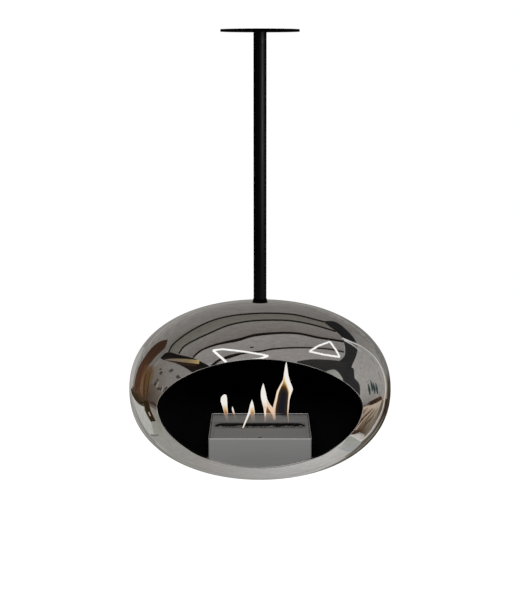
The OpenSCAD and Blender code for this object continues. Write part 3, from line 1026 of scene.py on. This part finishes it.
def strokes(name, shade, marks, layer=3, across=3):
    """Short straight ribbons, each by its start, its run and its width."""
    for i, (x, y, dx, dy, width) in enumerate(marks):
        ribbon(f"{name}_{i}", points=[(x, y), (x + dx, y + dy)], width=width, shade=shade, layer=layer,
               across=across)


def thin(shade, cover):
    return (*shade, cover)


def clear(shade):
    return thin(shade, 0)


# Shades, as they show in the chrome
CEILING = (98, 95, 90)
STONE = (134, 130, 126)
PLASTER = (116, 112, 109)
PALE_FLOOR = (175, 174, 169)
CHARCOAL = (38, 38, 38)
INK = (20, 17, 15)
WARM_WHITE = (252, 251, 249)
BRICK = (54, 37, 29)
COPPER = (84, 60, 38)
UMBER = (58, 40, 29)
OLIVE = (60, 52, 38)
CLAY = (88, 77, 68)

OUTLINE_TOP = [(132, 384), (136, 366), (146, 347), (163, 328), (190, 312), (225, 303), (260, 300), (297, 303),
               (330, 312), (357, 328), (375, 347), (385, 366), (389, 384)]
ARC_1 = [(168.7, 352.1), (172.7, 345), (180.7, 337.9), (191.4, 330.7), (204.8, 323.6), (218.2, 318.7),
         (236.1, 315.1), (260, 313.3), (281.4, 313.5), (297.5, 315.1), (313.6, 319.1), (324.3, 321.8)]
ARC_2 = [(178.9, 353.9), (184.3, 346.3), (195.9, 339.6), (209.3, 333.4), (227.1, 325.8), (245, 321.8),
         (260, 320.4), (282.3, 320.2), (298.4, 321.8), (317.1, 325.8), (335.9, 331.6)]
ARC_3 = [(193.2, 357.5), (197.7, 353), (204.8, 348.6), (218.2, 344.1), (236.1, 340.5), (249.5, 336.5),
         (260, 334.5), (282.3, 332.9), (300.2, 333.8), (317.1, 337.4), (331.4, 339.6), (343.9, 341.6)]
ARC_4 = [(206, 364), (214.6, 361.4), (227.1, 358), (240.5, 353.9), (260, 351.5), (273.4, 349), (295.7, 347.7),
         (317.1, 348.1), (331.4, 349.5), (344.4, 352.1)]
RIM_TOP = [(190, 380), (215, 372), (240, 367), (260, 366), (280, 367), (300, 370), (320, 376), (341, 388)]


def ceiling_cards():
    """The studio's ceiling in five bands, dark seams between them."""
    card("ceiling_behind", upper=OUTLINE_TOP,
         lower=[(140, 398), (148, 376), (158, 360), (172.7, 345), (191.4, 330.7), (218.2, 318.7),
                (260, 313.3), (297.5, 315.1), (324.3, 321.8), (345, 331), (360, 346), (374, 364), (383, 386)],
         shade=(148, 145, 140), to=CEILING, layer=0, across=48, along=8)
    card("ceiling_band_1", upper=ARC_1, lower=ARC_2, shade=(96, 93, 87), to=(104, 101, 95))
    card("ceiling_band_2", upper=ARC_2, lower=ARC_3, shade=(118, 114, 109), to=(106, 100, 96))
    card("ceiling_band_3", upper=ARC_3, lower=ARC_4, shade=[STONE, STONE, (128, 124, 121)],
         to=[(124, 120, 118), (124, 120, 118), (117, 113, 110)])
    card("ceiling_band_4", upper=ARC_4, lower=RIM_TOP,
         shade=[(138, 133, 130), (136, 131, 128), (130, 126, 123)],
         to=[(138, 133, 130), (136, 131, 128), (130, 126, 123)])
    ribbon("seam_1", points=ARC_1, width=1.5, shade=INK)
    ribbon("seam_2", points=ARC_2, width=1.6, shade=INK)
    ribbon("seam_3", points=ARC_3, width=[1.8, 1.8, 2.4, 2.8, 2.2, 2.2, 2.0], shade=INK)
    ribbon("seam_3_swell", points=[(222, 342.6), (232, 341.2), (241, 339.2), (250, 336.6)],
           width=[1, 3, 3, 1], shade=INK)
    ribbon("seam_4", points=ARC_4[2:], width=1.7, shade=[INK, INK, (40, 38, 36), (44, 42, 40)])
    ribbon("seam_4_shadow", points=[(211, 366), (219, 360.4), (229, 356.9), (239, 354.2), (246, 353)],
           width=[2.4, 2.2, 3.4, 2.4, 0.6], shade=INK)
    ribbon("ceiling_mark", points=[(250, 347.3), (253.8, 347.3)], width=1.2, shade=INK)


TUBES = {
    "tube_left": [(226.8, 362.4), (213, 350.2), (223, 349.2), (243, 351.4), (260, 354.2), (268.4, 355.8),
                  (260, 358.2), (245, 359.8), (231, 361.8)],
    "tube_right": [(318.6, 345.8), (330, 341.6), (336, 349.8), (339.8, 357), (325, 354.8), (309.4, 351.4),
                   (318.6, 345.8)],
}


def tube_lights():
    """Two outlines of bright tube. The left one's first side is wider."""
    for name, corners in TUBES.items():
        for i, ends in enumerate(zip(corners, corners[1:])):
            width = 2.3 if (name, i) == ("tube_left", 0) else 1.7
            ribbon(f"{name}_{i}", points=list(ends), width=width, shade=WARM_WHITE, layer=5, across=8)


def left_cards():
    """The left wall: plaster, a brick panel beside a copper one, and a bench by the rim."""
    card("left_wall", upper=[(150, 372), (158, 364), (166, 358), (180, 361), (192, 367), (200, 371)],
         lower=[(146, 404), (160, 411), (164, 400), (172, 391), (184, 383), (198, 377)],
         shade=[(104, 96, 86), (118, 114, 110), (124, 119, 116)], to=[CLAY, PLASTER, (122, 118, 116)])
    card("brick_panel", upper=[(168, 339.4), (159.7, 341.5), (151.3, 348.4), (144.4, 357.6), (139, 366.8),
                               (136, 376), (133.4, 390)],
         lower=[(167.2, 342.6), (164.5, 348.4), (156.3, 356.2), (151.3, 362.4), (146.5, 368), (143, 376),
                (140.4, 393)],
         shade=[BRICK, BRICK, (74, 50, 38), (80, 54, 42)],
         to=[BRICK, (60, 42, 30), (70, 48, 34), (76, 52, 38)], layer=2)
    card("copper_panel", upper=[(145, 365), (142.4, 374), (140.4, 384), (138.6, 392), (138.8, 401)],
         lower=[(155.4, 365.4), (153.6, 375), (151.2, 385), (150, 393), (149.6, 403)],
         shade=[thin(COPPER, 0.7), COPPER, COPPER, (66, 50, 36)],
         to=[thin(COPPER, 0.1), thin(COPPER, 0.6), thin((72, 62, 52), 0.7), (68, 58, 50)], layer=3)
    for i, x in enumerate((0, 4)):
        ribbon(f"copper_streak_{i}",
               points=[(149.4 + x, 368), (145.8 + x, 376), (144.3 + x, 386), (144.4 + x / 2, 400)],
               width=[0.8, 1.3, 1.3, 1.2],
               shade=[clear((64, 45, 26)), thin((64, 45, 26), 0.75), thin((60, 42, 24), 0.8),
                      thin((60, 42, 30), 0.7)],
               layer=5)
    ribbon("copper_shine", points=[(146, 369), (142.6, 379), (141.4, 390), (142.4, 397)],
           width=[1, 2.6, 2.8, 1.6],
           shade=[clear(COPPER), (104, 79, 58), (102, 78, 58), thin((84, 62, 46), 0.4)], layer=4)
    ribbon("brick_weave", points=[(139.6, 378), (137, 385), (136, 393), (139.4, 400)], width=[0.6, 1, 1, 0.8],
           shade=[clear((60, 38, 24)), thin((62, 42, 26), 0.7), thin((58, 40, 26), 0.8),
                  thin((54, 38, 26), 0.6)],
           layer=5)
    ribbon("copper_olive", points=[(154, 369), (151.6, 376), (150, 384), (149.4, 394)],
           width=[1.4, 2.4, 2.4, 1.6],
           shade=[clear((92, 84, 68)), thin((92, 82, 62), 0.8), thin((92, 84, 68), 0.8), clear((92, 84, 68))],
           layer=4)
    ribbon("copper_gold", points=[(152.4, 367), (148.8, 374), (146.6, 382), (146.2, 397)],
           width=[1.6, 2.4, 2.6, 2],
           shade=[clear((92, 64, 34)), (92, 66, 38), (90, 64, 34), thin((86, 60, 38), 0.5)], layer=4)
    card("brick_foot", upper=[(132.2, 386.4), (133.6, 393.2), (136.4, 398.8), (140.2, 403.2)],
         lower=[(141, 388), (142, 393), (143.4, 398.6), (144.6, 404.6)],
         shade=[(84, 66, 52), (66, 50, 36), (46, 34, 25), (34, 27, 20)],
         to=[thin((84, 60, 44), 0.2), thin((78, 56, 40), 0.5), (58, 42, 30), (40, 30, 22)],
         layer=3, across=12, along=5)
    card("wall_foot", upper=[(147, 386), (151, 384), (156, 386), (161, 391)],
         lower=[(146.6, 402), (150, 404), (154, 405.6), (158, 406.5)],
         shade=[thin((74, 64, 55), 0.8), thin((74, 66, 57), 0.5), clear(CLAY)],
         to=[(70, 59, 51), (76, 66, 58), (86, 77, 69)], layer=2, across=16, along=4)
    ribbon("floor_edge_left", points=[(131.6, 388.4), (133, 393.2), (135.8, 398.8), (139.6, 403), (144, 406)],
           width=[1.2, 2.4, 2.2, 1.9, 1.6], shade=(50, 41, 30), layer=5)
    ribbon("wall_shadow", points=[(149.8, 402.4), (152.4, 402.8), (155, 404.9), (157, 407)],
           width=[0.8, 3, 2.2, 0.8], shade=(60, 46, 44), layer=3)
    card("bench", upper=[(160.2, 358), (167.7, 352.2), (179.6, 354.8), (193.4, 358.2), (210, 366)],
         lower=[(163, 359.8), (172, 361.8), (181, 365.6), (188, 369.4), (196, 375.6)], shade=INK,
         to=(30, 25, 24), layer=2, across=24, along=4)
    card("bench_top", upper=[(164.8, 359.2), (175, 358.6), (188, 359.1), (199.6, 360.2)],
         lower=[(165.6, 360), (175, 361.2), (188, 362.8), (199, 364)],
         shade=[(96, 86, 80), (118, 106, 92), (124, 108, 80), (166, 142, 94)],
         to=[(96, 86, 80), (118, 106, 92), (124, 108, 80), (166, 142, 94)], layer=4, across=16, along=2)
    card("bench_edge", upper=[(167, 361), (176, 362), (187, 363.8), (197, 365)],
         lower=[(168, 361.8), (176, 363.4), (186, 365.6), (196, 366.6)], shade=UMBER, to=thin(UMBER, 0.2),
         layer=4, across=16, along=2)
    card("left_floor", upper=[(131, 388), (133.4, 396), (138, 404), (143.4, 406), (147.6, 407)],
         lower=[(131.8, 402), (135.8, 413.4), (141.2, 424.6), (148, 434.6), (154, 434)], shade=PALE_FLOOR,
         to=(168, 169, 164), layer=1, across=24, along=6)
    card("left_floor_inner", upper=[(148, 405.6), (152, 406), (157, 408), (160, 410)],
         lower=[(154, 431), (160, 434), (164, 432), (164, 424)],
         shade=[(144, 137, 130), (123, 119, 113), (130, 125, 119)], to=(141, 140, 131),
         layer=1, across=16, along=6)
    card("post", upper=[(143.4, 400.6), (144.9, 409.6), (147.6, 415.6), (151, 421.8)],
         lower=[(148, 400.4), (150.8, 410), (153.2, 415.6), (155.9, 421)], shade=(44, 36, 20),
         to=(42, 30, 16), layer=5, across=12, along=3)
    ribbon("post_edge", points=[(144.6, 409), (147.4, 415.4), (150.8, 421.4)], width=0.8,
           shade=thin((84, 64, 40), 0.6), layer=6, across=8)
    ribbon("post_glint", points=[(148.8, 412), (150.4, 416)], width=1.1, shade=(166, 148, 130),
           layer=6, across=4)
    ribbon("floor_mark", points=[(150.8, 434.8), (154, 435.6), (158.8, 434.9)], width=1.7,
           shade=(112, 109, 103), layer=3, across=6)
    marks = ((169.4, 371.6, 3.6, -2.2, 2.6), (160, 374.2, 2.2, -2.6, 2.47), (159.6, 369.6, 2, -0.8, 1.56),
             (176.6, 378, 2.4, -2.4, 2.86), (178.8, 377, 1.6, 1.2, 1.43), (154.4, 385.6, 2, -3.6, 2.34),
             (157.4, 389.6, 2.6, -1.6, 2.34), (160.6, 390.6, 1.4, -3.6, 2.08), (163.6, 392.4, 3, -4.4, 2.6),
             (156.6, 381.6, 1.8, -2.8, 1.56), (165.6, 389, 1.4, -2.2, 1.56))
    strokes("wall_mark", thin((46, 41, 38), 0.85), marks)
    strokes("wall_glint", thin((150, 142, 134), 0.7),
            ((156.4, 387, 2.4, -5, 1), (161.6, 391.6, 1.6, -5.6, 1)), 4)


def right_cards():
    """The right wall: a dark drape, a lit curve, pale plaster and a worn timber front."""
    card("right_wall", upper=[(344, 340.4), (352, 341.4), (361, 345.6), (370, 352.6), (376, 359.4),
                              (381.4, 368.4), (384.4, 378), (385.8, 389), (385, 399)],
         lower=[(344, 344), (344, 358), (343, 372), (345, 382), (350, 388), (355, 392), (360, 398),
                (362, 402), (363, 406)],
         shade=[(140, 138, 135), (137, 135, 131), (146, 143, 139), (142, 138, 133)],
         to=[(142, 140, 137), (152, 148, 145), (148, 144, 141), (114, 110, 106)])
    card("outer_wall", upper=[(352, 330), (366, 340), (377, 354), (384, 370), (388, 388), (388.6, 400)],
         lower=[(350, 340), (361, 345.6), (371, 353), (381, 368), (385.6, 389), (385.6, 400)],
         shade=[(112, 110, 107), (128, 124, 120), (145, 141, 137), (130, 126, 120)],
         to=[(112, 110, 107), (126, 122, 118), (144, 140, 136), (128, 124, 118)], layer=1, across=30, along=3)
    card("drape_wedge", upper=[(345.4, 341), (348.6, 341.2), (353, 341.8), (357.4, 343.8)],
         lower=[(346, 342), (350.6, 343.6), (354.4, 345.2), (357.8, 347.6)], shade=(116, 114, 111),
         to=(104, 102, 100), layer=3, across=10, along=2)
    card("drape_top",
         upper=[(323, 321.2), (333.3, 321.2), (341, 325), (348.6, 331.8), (354, 338), (356.4, 342.6)],
         lower=[(328, 325.3), (335.6, 331), (341, 336), (343.5, 340.6), (344.6, 342), (345, 343.6)],
         shade=(32, 31, 31), to=(28, 27, 27), layer=2)
    card("drape", upper=[(356, 341), (357.6, 348.6), (356.3, 356), (351.9, 366.4), (353.8, 368.8),
                         (354.4, 374), (355, 378.4), (358.8, 382.7), (360.2, 388), (360.2, 398)],
         lower=[(343.6, 341), (345.2, 349), (343.8, 357), (334, 366), (335, 376), (338, 382), (343, 389),
                (348, 393), (352, 397), (356, 401)],
         shade=[CHARCOAL, CHARCOAL, (44, 43, 45), (48, 46, 48)], to=CHARCOAL, layer=2, across=60, along=5)
    card("drape_foot",
         upper=[(297, 361.2), (310, 359.4), (322, 359.4), (333.3, 360.1), (341.7, 361.3), (346, 362)],
         lower=[(300, 369), (310, 372), (320, 376), (332, 381), (340, 385), (346, 386)], shade=(44, 43, 42),
         to=CHARCOAL, layer=2, across=30, along=4)
    card("patch", upper=[(327, 370.8), (334.4, 369.6), (339, 373), (343.4, 379.6)],
         lower=[(325, 376), (331, 380), (336, 384), (340, 388)],
         shade=[(126, 128, 121), (138, 139, 132), (162, 160, 155)], to=(142, 142, 137),
         layer=3, across=12, along=2)
    ribbon("lit_curve", points=[(342.4, 338.2), (351.2, 341.9), (361, 346.2), (370, 352.5), (376.2, 359),
                                (381.6, 368.2), (384.6, 377.4), (385.9, 388.1), (384.8, 398.4),
                                (382.4, 409.5), (377.2, 421), (368.8, 433.6), (360.8, 441.4)],
           width=[1.4, 0.8, 0.9, 1.0, 1.1, 1.0, 0.9],
           shade=[(200, 199, 197), (180, 178, 175), (192, 187, 181), (196, 185, 173), (182, 173, 163),
                  (190, 186, 180)],
           layer=4, across=90)
    ribbon("lit_curve_inner", points=[(344, 340), (349.6, 343), (354.2, 346), (359, 349.8), (362, 353)],
           width=[1.2, 1.2, 1.1, 1], shade=[(190, 189, 187), (164, 162, 160), clear((150, 148, 144))],
           layer=4, across=12)
    pegs = ((369.4, 389.4, 2.4), (371.9, 386, 2.0), (374.3, 388.2, 2.4), (376.9, 388.6, 2.2))
    for i, (x, y, w) in enumerate(pegs):
        ribbon(f"right_mark_{i}", points=[(x - 1.2, y - 5.6), (x, y), (x + 0.7, y + 5.4)], width=[1, w, 1],
               shade=[thin((76, 86, 84), 0.7), (44, 56, 54), thin((56, 66, 64), 0.9)], layer=3, across=8)
    flecks = ((360.4, 367.6, 0.8, 1.2, 1.2), (361.6, 352, 1.2, 1.6, 1), (361, 361, 0.4, 2.4, 0.8),
              (378.4, 372, 2.6, 8, 1), (379.6, 392, 0.4, 6, 1), (367, 383, 3, -4, 0.8), (371, 358, 4, 6, 0.7))
    strokes("right_fleck", thin((98, 96, 94), 0.5), flecks, across=4)
    ribbon("beam", points=[(362.8, 406.4), (366.4, 405), (371, 403.2), (376, 400.8), (381.8, 397.6)],
           width=[2.6, 1.8, 4, 4.4, 3.6],
           shade=[(52, 44, 46), (104, 98, 96), (44, 32, 24), (54, 36, 24), (76, 52, 40)], layer=3, across=24)
    card("timber", upper=[(363.4, 407), (370.8, 405), (377, 402.4), (384, 399)],
         lower=[(350, 434.4), (357, 431.8), (363.9, 434), (369, 434)],
         shade=[(170, 152, 136), (180, 164, 146), (170, 158, 142)],
         to=[(92, 72, 58), (70, 60, 48), (106, 96, 84)], layer=2, across=20, along=10)
    ribbon("timber_side", points=[(383.4, 400), (380.6, 410), (375.6, 421), (369.4, 430.6), (364.6, 436)],
           width=[2.6, 3.4, 3.4, 3, 1.6],
           shade=[(112, 102, 88), (88, 80, 70), (112, 104, 92), (106, 98, 86), (104, 94, 82)],
           layer=3, across=30)
    grain = ((373, 408.4, 353, 431.6, 1.6, (78, 52, 40)), (368, 407.6, 353.6, 428, 1.0, (96, 68, 54)),
             (375.6, 409, 362, 428, 1.2, (98, 80, 62)), (378.4, 408, 368, 427, 1.0, (104, 94, 78)),
             (370, 413, 356, 430, 0.8, (176, 156, 136)), (380, 412, 372, 426, 1.1, (84, 76, 62)),
             (365.6, 409, 360.6, 418, 0.9, (120, 86, 70)), (374, 416, 360, 432, 1.4, (74, 62, 48)))
    for i, (x0, y0, x1, y1, w, shade) in enumerate(grain):
        bow = ((x0 + x1) / 2 - 0.8, (y0 + y1) / 2 - 0.4)
        ribbon(f"timber_grain_{i}", points=[(x0, y0), bow, (x1, y1)], width=[0.4, w, w, 0.6],
               shade=[clear(shade), shade, thin(shade, 0.8)], layer=3, across=14)
    ribbon("timber_foot", points=[(351.2, 434.2), (355.4, 432.6), (359.8, 430.8), (364.6, 430)],
           width=[1.2, 2.8, 2.8, 1],
           shade=[(70, 44, 32), (58, 37, 27), thin((62, 44, 34), 0.8), clear((78, 58, 44))],
           layer=4, across=10)
    card("right_sill", upper=[(351, 435), (357, 434), (362, 434.8), (366, 436)],
         lower=[(352.6, 436.4), (356, 438.4), (359.6, 440.6), (361.4, 441.4)],
         shade=[(170, 164, 158), (178, 172, 167), (160, 148, 136)], to=(184, 180, 176),
         layer=3, across=10, along=3)
    ribbon("sill_edge", points=[(351.3, 435.2), (356, 437.8), (361, 441.2)], width=1.1, shade=(198, 195, 191),
           layer=4, across=8)
    card("right_step", upper=[(342, 441), (347, 438), (352, 436.6), (361, 442)],
         lower=[(336, 448), (342, 449.4), (348, 449.8), (356, 448.8)],
         shade=[(150, 151, 146), (143, 144, 137), (150, 150, 144)],
         to=[(168, 168, 164), (156, 157, 152), (148, 149, 145)], layer=2, across=14, along=4)
    ribbon("step_edge", points=[(349.4, 435.4), (345.6, 438.8), (341.4, 443.4), (336, 448.6)],
           width=[0.8, 2.4, 2.8, 1.4], shade=(181, 179, 176), layer=3)
    ribbon("right_edge", points=[(388.6, 366), (389.2, 376), (389.6, 390), (389, 402), (387, 413),
                                 (382.4, 424.6), (375, 436), (362, 449), (346, 459)],
           width=[2.6, 4, 4.6, 4.4, 3.6, 3, 2.8, 2.4],
           shade=[clear((100, 96, 88)), thin((72, 66, 54), 0.8), OLIVE, OLIVE, OLIVE, (74, 68, 56),
                  (86, 82, 72)],
           layer=2, across=80)
    ribbon("right_edge_line", points=[(386.4, 399), (384.8, 410), (380.4, 420.6), (373, 432.4), (363, 442.8),
                                      (355, 450.4), (345, 457)],
           width=[1.2, 2, 1.9, 1.6, 1.8, 2, 0.8],
           shade=[(44, 37, 30), (44, 36, 30), (68, 58, 50), (80, 73, 65), (96, 91, 84),
                  thin((112, 108, 100), 0.4)],
           layer=3, across=44)
    card("outer_floor", upper=[(386, 399), (384, 410), (378.6, 421.6), (370.6, 433.6), (361, 442.4)],
         lower=[(388.6, 399), (387, 412), (381.6, 426), (372, 440), (360, 450)],
         shade=[(130, 125, 118), (126, 121, 114), (116, 112, 105)],
         to=[(100, 94, 84), (94, 88, 78), (100, 96, 88)], layer=1, across=30, along=4)


def floor_cards():
    """The floor in front of the camera, lit from the right."""
    card("floor", upper=[(158, 424), (166, 434), (178, 444), (194, 454), (212, 461.4), (236, 466.4),
                         (260, 468), (284, 466), (304, 461.4), (322, 454.6), (338, 444), (350, 434)],
         lower=[(140, 424), (150, 440), (166, 454), (188, 466), (212, 474), (236, 479.4), (260, 481),
                (284, 479.4), (308, 474), (330, 466), (350, 455), (362, 445)],
         shade=[(146, 147, 138), (144, 143, 137), (148, 144, 140), (160, 158, 156), (174, 173, 171),
                (184, 181, 179), (178, 178, 175)],
         to=[(146, 147, 140), (142, 141, 135), (146, 143, 139), (156, 155, 152), (162, 161, 159),
             (172, 169, 165), (150, 148, 142)],
         layer=0, across=80, along=5)
    ribbon("floor_blue", points=[(343, 449.4), (348.6, 450.6), (353, 449.6)], width=1.6,
           shade=(146, 147, 158), layer=3, across=6)
    ribbon("outline_upper_left",
           points=[(144, 346.6), (138, 356.6), (134, 366.4), (131.8, 376), (130.8, 386), (131.2, 397)],
           width=[2, 4.4, 4.8, 4.4, 4, 2],
           shade=[thin((156, 154, 149), 0.6), (164, 162, 158), (168, 166, 163), (170, 169, 167),
                  (164, 162, 158), (148, 146, 140)],
           layer=2, across=40)
    ribbon("floor_strip",
           points=[(131.4, 397), (133.4, 406), (137.6, 418), (144.6, 430), (154.6, 441.6), (168, 452.6)],
           width=[2, 3.6, 4, 4, 3.4, 1],
           shade=[(156, 154, 148), (166, 164, 159), (164, 162, 157), (160, 158, 153), clear((150, 148, 142))],
           layer=1, across=50)
    ribbon("outline_left", points=[(130.6, 396), (132, 404), (138, 420), (150, 438), (170, 456.6), (196, 470),
                                   (226, 478.6), (260, 481)],
           width=[1.1, 1.1, 1.3, 1.5, 1.5],
           shade=[(140, 138, 132), (136, 134, 128), (126, 124, 118), (122, 120, 115), (126, 124, 119)],
           layer=3, across=70)
    ribbon("outline_left_line", points=[(133.4, 400), (135.4, 409), (139.6, 420), (146.6, 432), (156, 443)],
           width=[0.5, 0.8, 0.9, 0.8, 0.5],
           shade=[clear((120, 118, 112)), thin((116, 114, 108), 0.9), (118, 116, 110),
                  clear((118, 116, 110))],
           layer=3, across=40)
    ribbon("outline_right", points=[(260, 481), (294, 478.6), (324, 470), (346, 458.6)], width=1.8,
           shade=[(126, 124, 119), (116, 113, 107), (96, 92, 84)], layer=3, across=30)


ROOM_OUTLINE = ([(166, 405), (182, 391), (212, 377), (260, 370), (308, 377), (338, 391), (354, 405)],
                [(166, 412), (182, 430), (212, 448), (260, 458), (308, 448), (338, 430), (354, 412)])
ROOM_BORDER = [(120, 118, 112), (190, 188, 182), (196, 194, 188), (206, 204, 200), (232, 230, 226)]
# Each window's middle and half width, and their lower and upper edges, in degrees as the body sees them
WINDOWS = ((-52, 14), (-6, 10), (22, 10), (58, 12))
SILL, HEAD = -2, 22
WALL_FOOT, WALL_HEAD = -12, 26
WINDOW_LEVEL, WALL_LEVEL = 236, 62


def front_room():
    """The room ahead. The rim catches its bright borders, and its heart shows from other sides."""
    picture_at = between_curves(*ROOM_OUTLINE)

    def room_level(out):
        height = math.degrees(math.asin(out.z))
        side = math.degrees(math.atan2(out.x, -out.y))
        if height > WALL_HEAD:
            return level(height, (WALL_HEAD, 96), (45, 128), (90, 150))
        if height > WALL_FOOT:
            lit = any(abs(side - middle) < half for middle, half in WINDOWS) and SILL < height < HEAD
            return WINDOW_LEVEL if lit else WALL_LEVEL
        return level(height, (-90, 150), (-40, 128), (WALL_FOOT, 92))

    def shade_at(u, v):
        out = (mirrored(*picture_at(u, v))[0] - BODY_MID).normalized()
        ahead = math.degrees(math.acos(max(-1.0, min(1.0, -out.y))))
        border = held((ahead - 56) / 10)
        here = room_level(out)
        room = (here, here * 0.985, here * 0.96)
        return tuple(a + (b - a) * border for a, b in zip(room, spaced(ROOM_BORDER, u)))

    stage_card("front_room", picture_at, shade_at, layer=1, across=90, along=48)


def backdrop():
    """A pale cap straight behind the body: what the chrome shows along its outline."""

    def at(u, v):
        turn, tilt = 2 * math.pi * u, math.radians(50 * v + 0.01)
        ring = Vector((math.cos(turn), 0, math.sin(turn))) * math.sin(tilt)
        return BODY_MID + (ring + Vector((0, math.cos(tilt), 0))) * STUDIO_R

    def glow_at(u, v):
        fall = 1 - 0.18 * math.cos(2 * math.pi * u)
        return (*(c * fall for c in grey(0.27, 0.03)), 1 if v < 0.85 else 0)

    glowing_stage(laid_grid("backdrop", 48, 10, at), glow_at)


MIRROR_ONLY = bpy.data.collections.new("mirror_only")
MIRROR_ONLY.objects.link(shell)
CARD_GLOW = painted_glow("card_glow", mottle=0.14)
ceiling_cards()
tube_lights()
left_cards()
right_cards()
floor_cards()
front_room()
backdrop()

# ---- The room and its lights ----

WHITE_TO_CAMERA = (1.02, 1.02, 1.02, 1)
FAINT_LIGHT = (0.06, 0.06, 0.06, 1)
FLOOR_Z = -2.6


def add_world():
    """White to the camera, faint as light, and a soft grey room, dark behind the body, to reflections."""
    world = bpy.data.worlds.new("studio")
    bpy.context.scene.world = world
    world.use_nodes = True
    w = Wiring(world.node_tree)
    w.tree.nodes.clear()
    x, y, z = w.split("Generated")
    room = w.ramp(w.span(z, -1, 1), (0.35, grey(0.5, 0.02)), (0.75, grey(0.3, 0.02)))
    room = w.mix(w.span(y, 0.72, 0.96), room, (*grey(0.02), 1))
    rays = w.add("ShaderNodeLightPath").outputs
    room = w.mix(rays["Is Diffuse Ray"], room, FAINT_LIGHT)
    room = w.mix(rays["Is Camera Ray"], room, WHITE_TO_CAMERA)
    back = w.add("ShaderNodeBackground", Color=room)
    w.add("ShaderNodeOutputWorld", Surface=back.outputs["Background"])


def studio_floor():
    """A plain pale floor, as far below the ceiling as in a room. The chrome shows cards in its place."""
    floor = primitive("studio_floor", bpy.ops.mesh.primitive_circle_add, vertices=96, radius=STUDIO_R,
                      fill_type="NGON", location=(0, 0, FLOOR_Z))
    pale = Finish("pale_floor", Base_Color=(0.9, 0.9, 0.9, 1), Roughness=0.8, Emission_Color=WHITE_TO_CAMERA,
                  Emission_Strength=1)
    dress(floor.data, pale.material)
    hide_from(floor, "glossy", "diffuse", "shadow", "transmission", "volume_scatter")


def area_light(name, at, towards, size, power, spared):
    """A soft light that leaves some pieces alone."""
    data = bpy.data.lights.new(name, "AREA")
    data.shape = "RECTANGLE"
    data.size, data.size_y = size
    data.energy = power
    lamp = bpy.data.objects.new(name, data)
    lamp.location = at
    lamp.rotation_euler = (Vector(towards) - Vector(at)).to_track_quat("-Z", "Y").to_euler()
    hide_from(lamp, "camera")
    bpy.context.scene.collection.objects.link(lamp)
    spares = bpy.data.collections.new(name + "_spares")
    for piece in spared:
        spares.objects.link(bpy.data.objects[piece])
    for member in spares.collection_objects:
        member.light_linking.link_state = "EXCLUDE"
    lamp.light_linking.receiver_collection = spares


def add_lights():
    area_light("front_light", at=(0, -3.4, 0.68), towards=(0, -0.02, -0.85), size=(1.8, 0.5), power=138,
               spared=("oval_shell", "pole", "flared_collar", "ceiling_disc", "swivel_socket"))
    area_light("side_strip", at=(2.05, -2, 0.15), towards=(0, 0, -0.3), size=(0.9, 1.8), power=105,
               spared=("oval_shell", "burner_box", "burner_top", "left_rail", "right_rail", "slot_lid",
                       "fibre_wool", "flared_collar", "ceiling_disc"))


add_world()
studio_floor()
add_lights()

scene = bpy.context.scene
scene.view_settings.view_transform = "Standard"
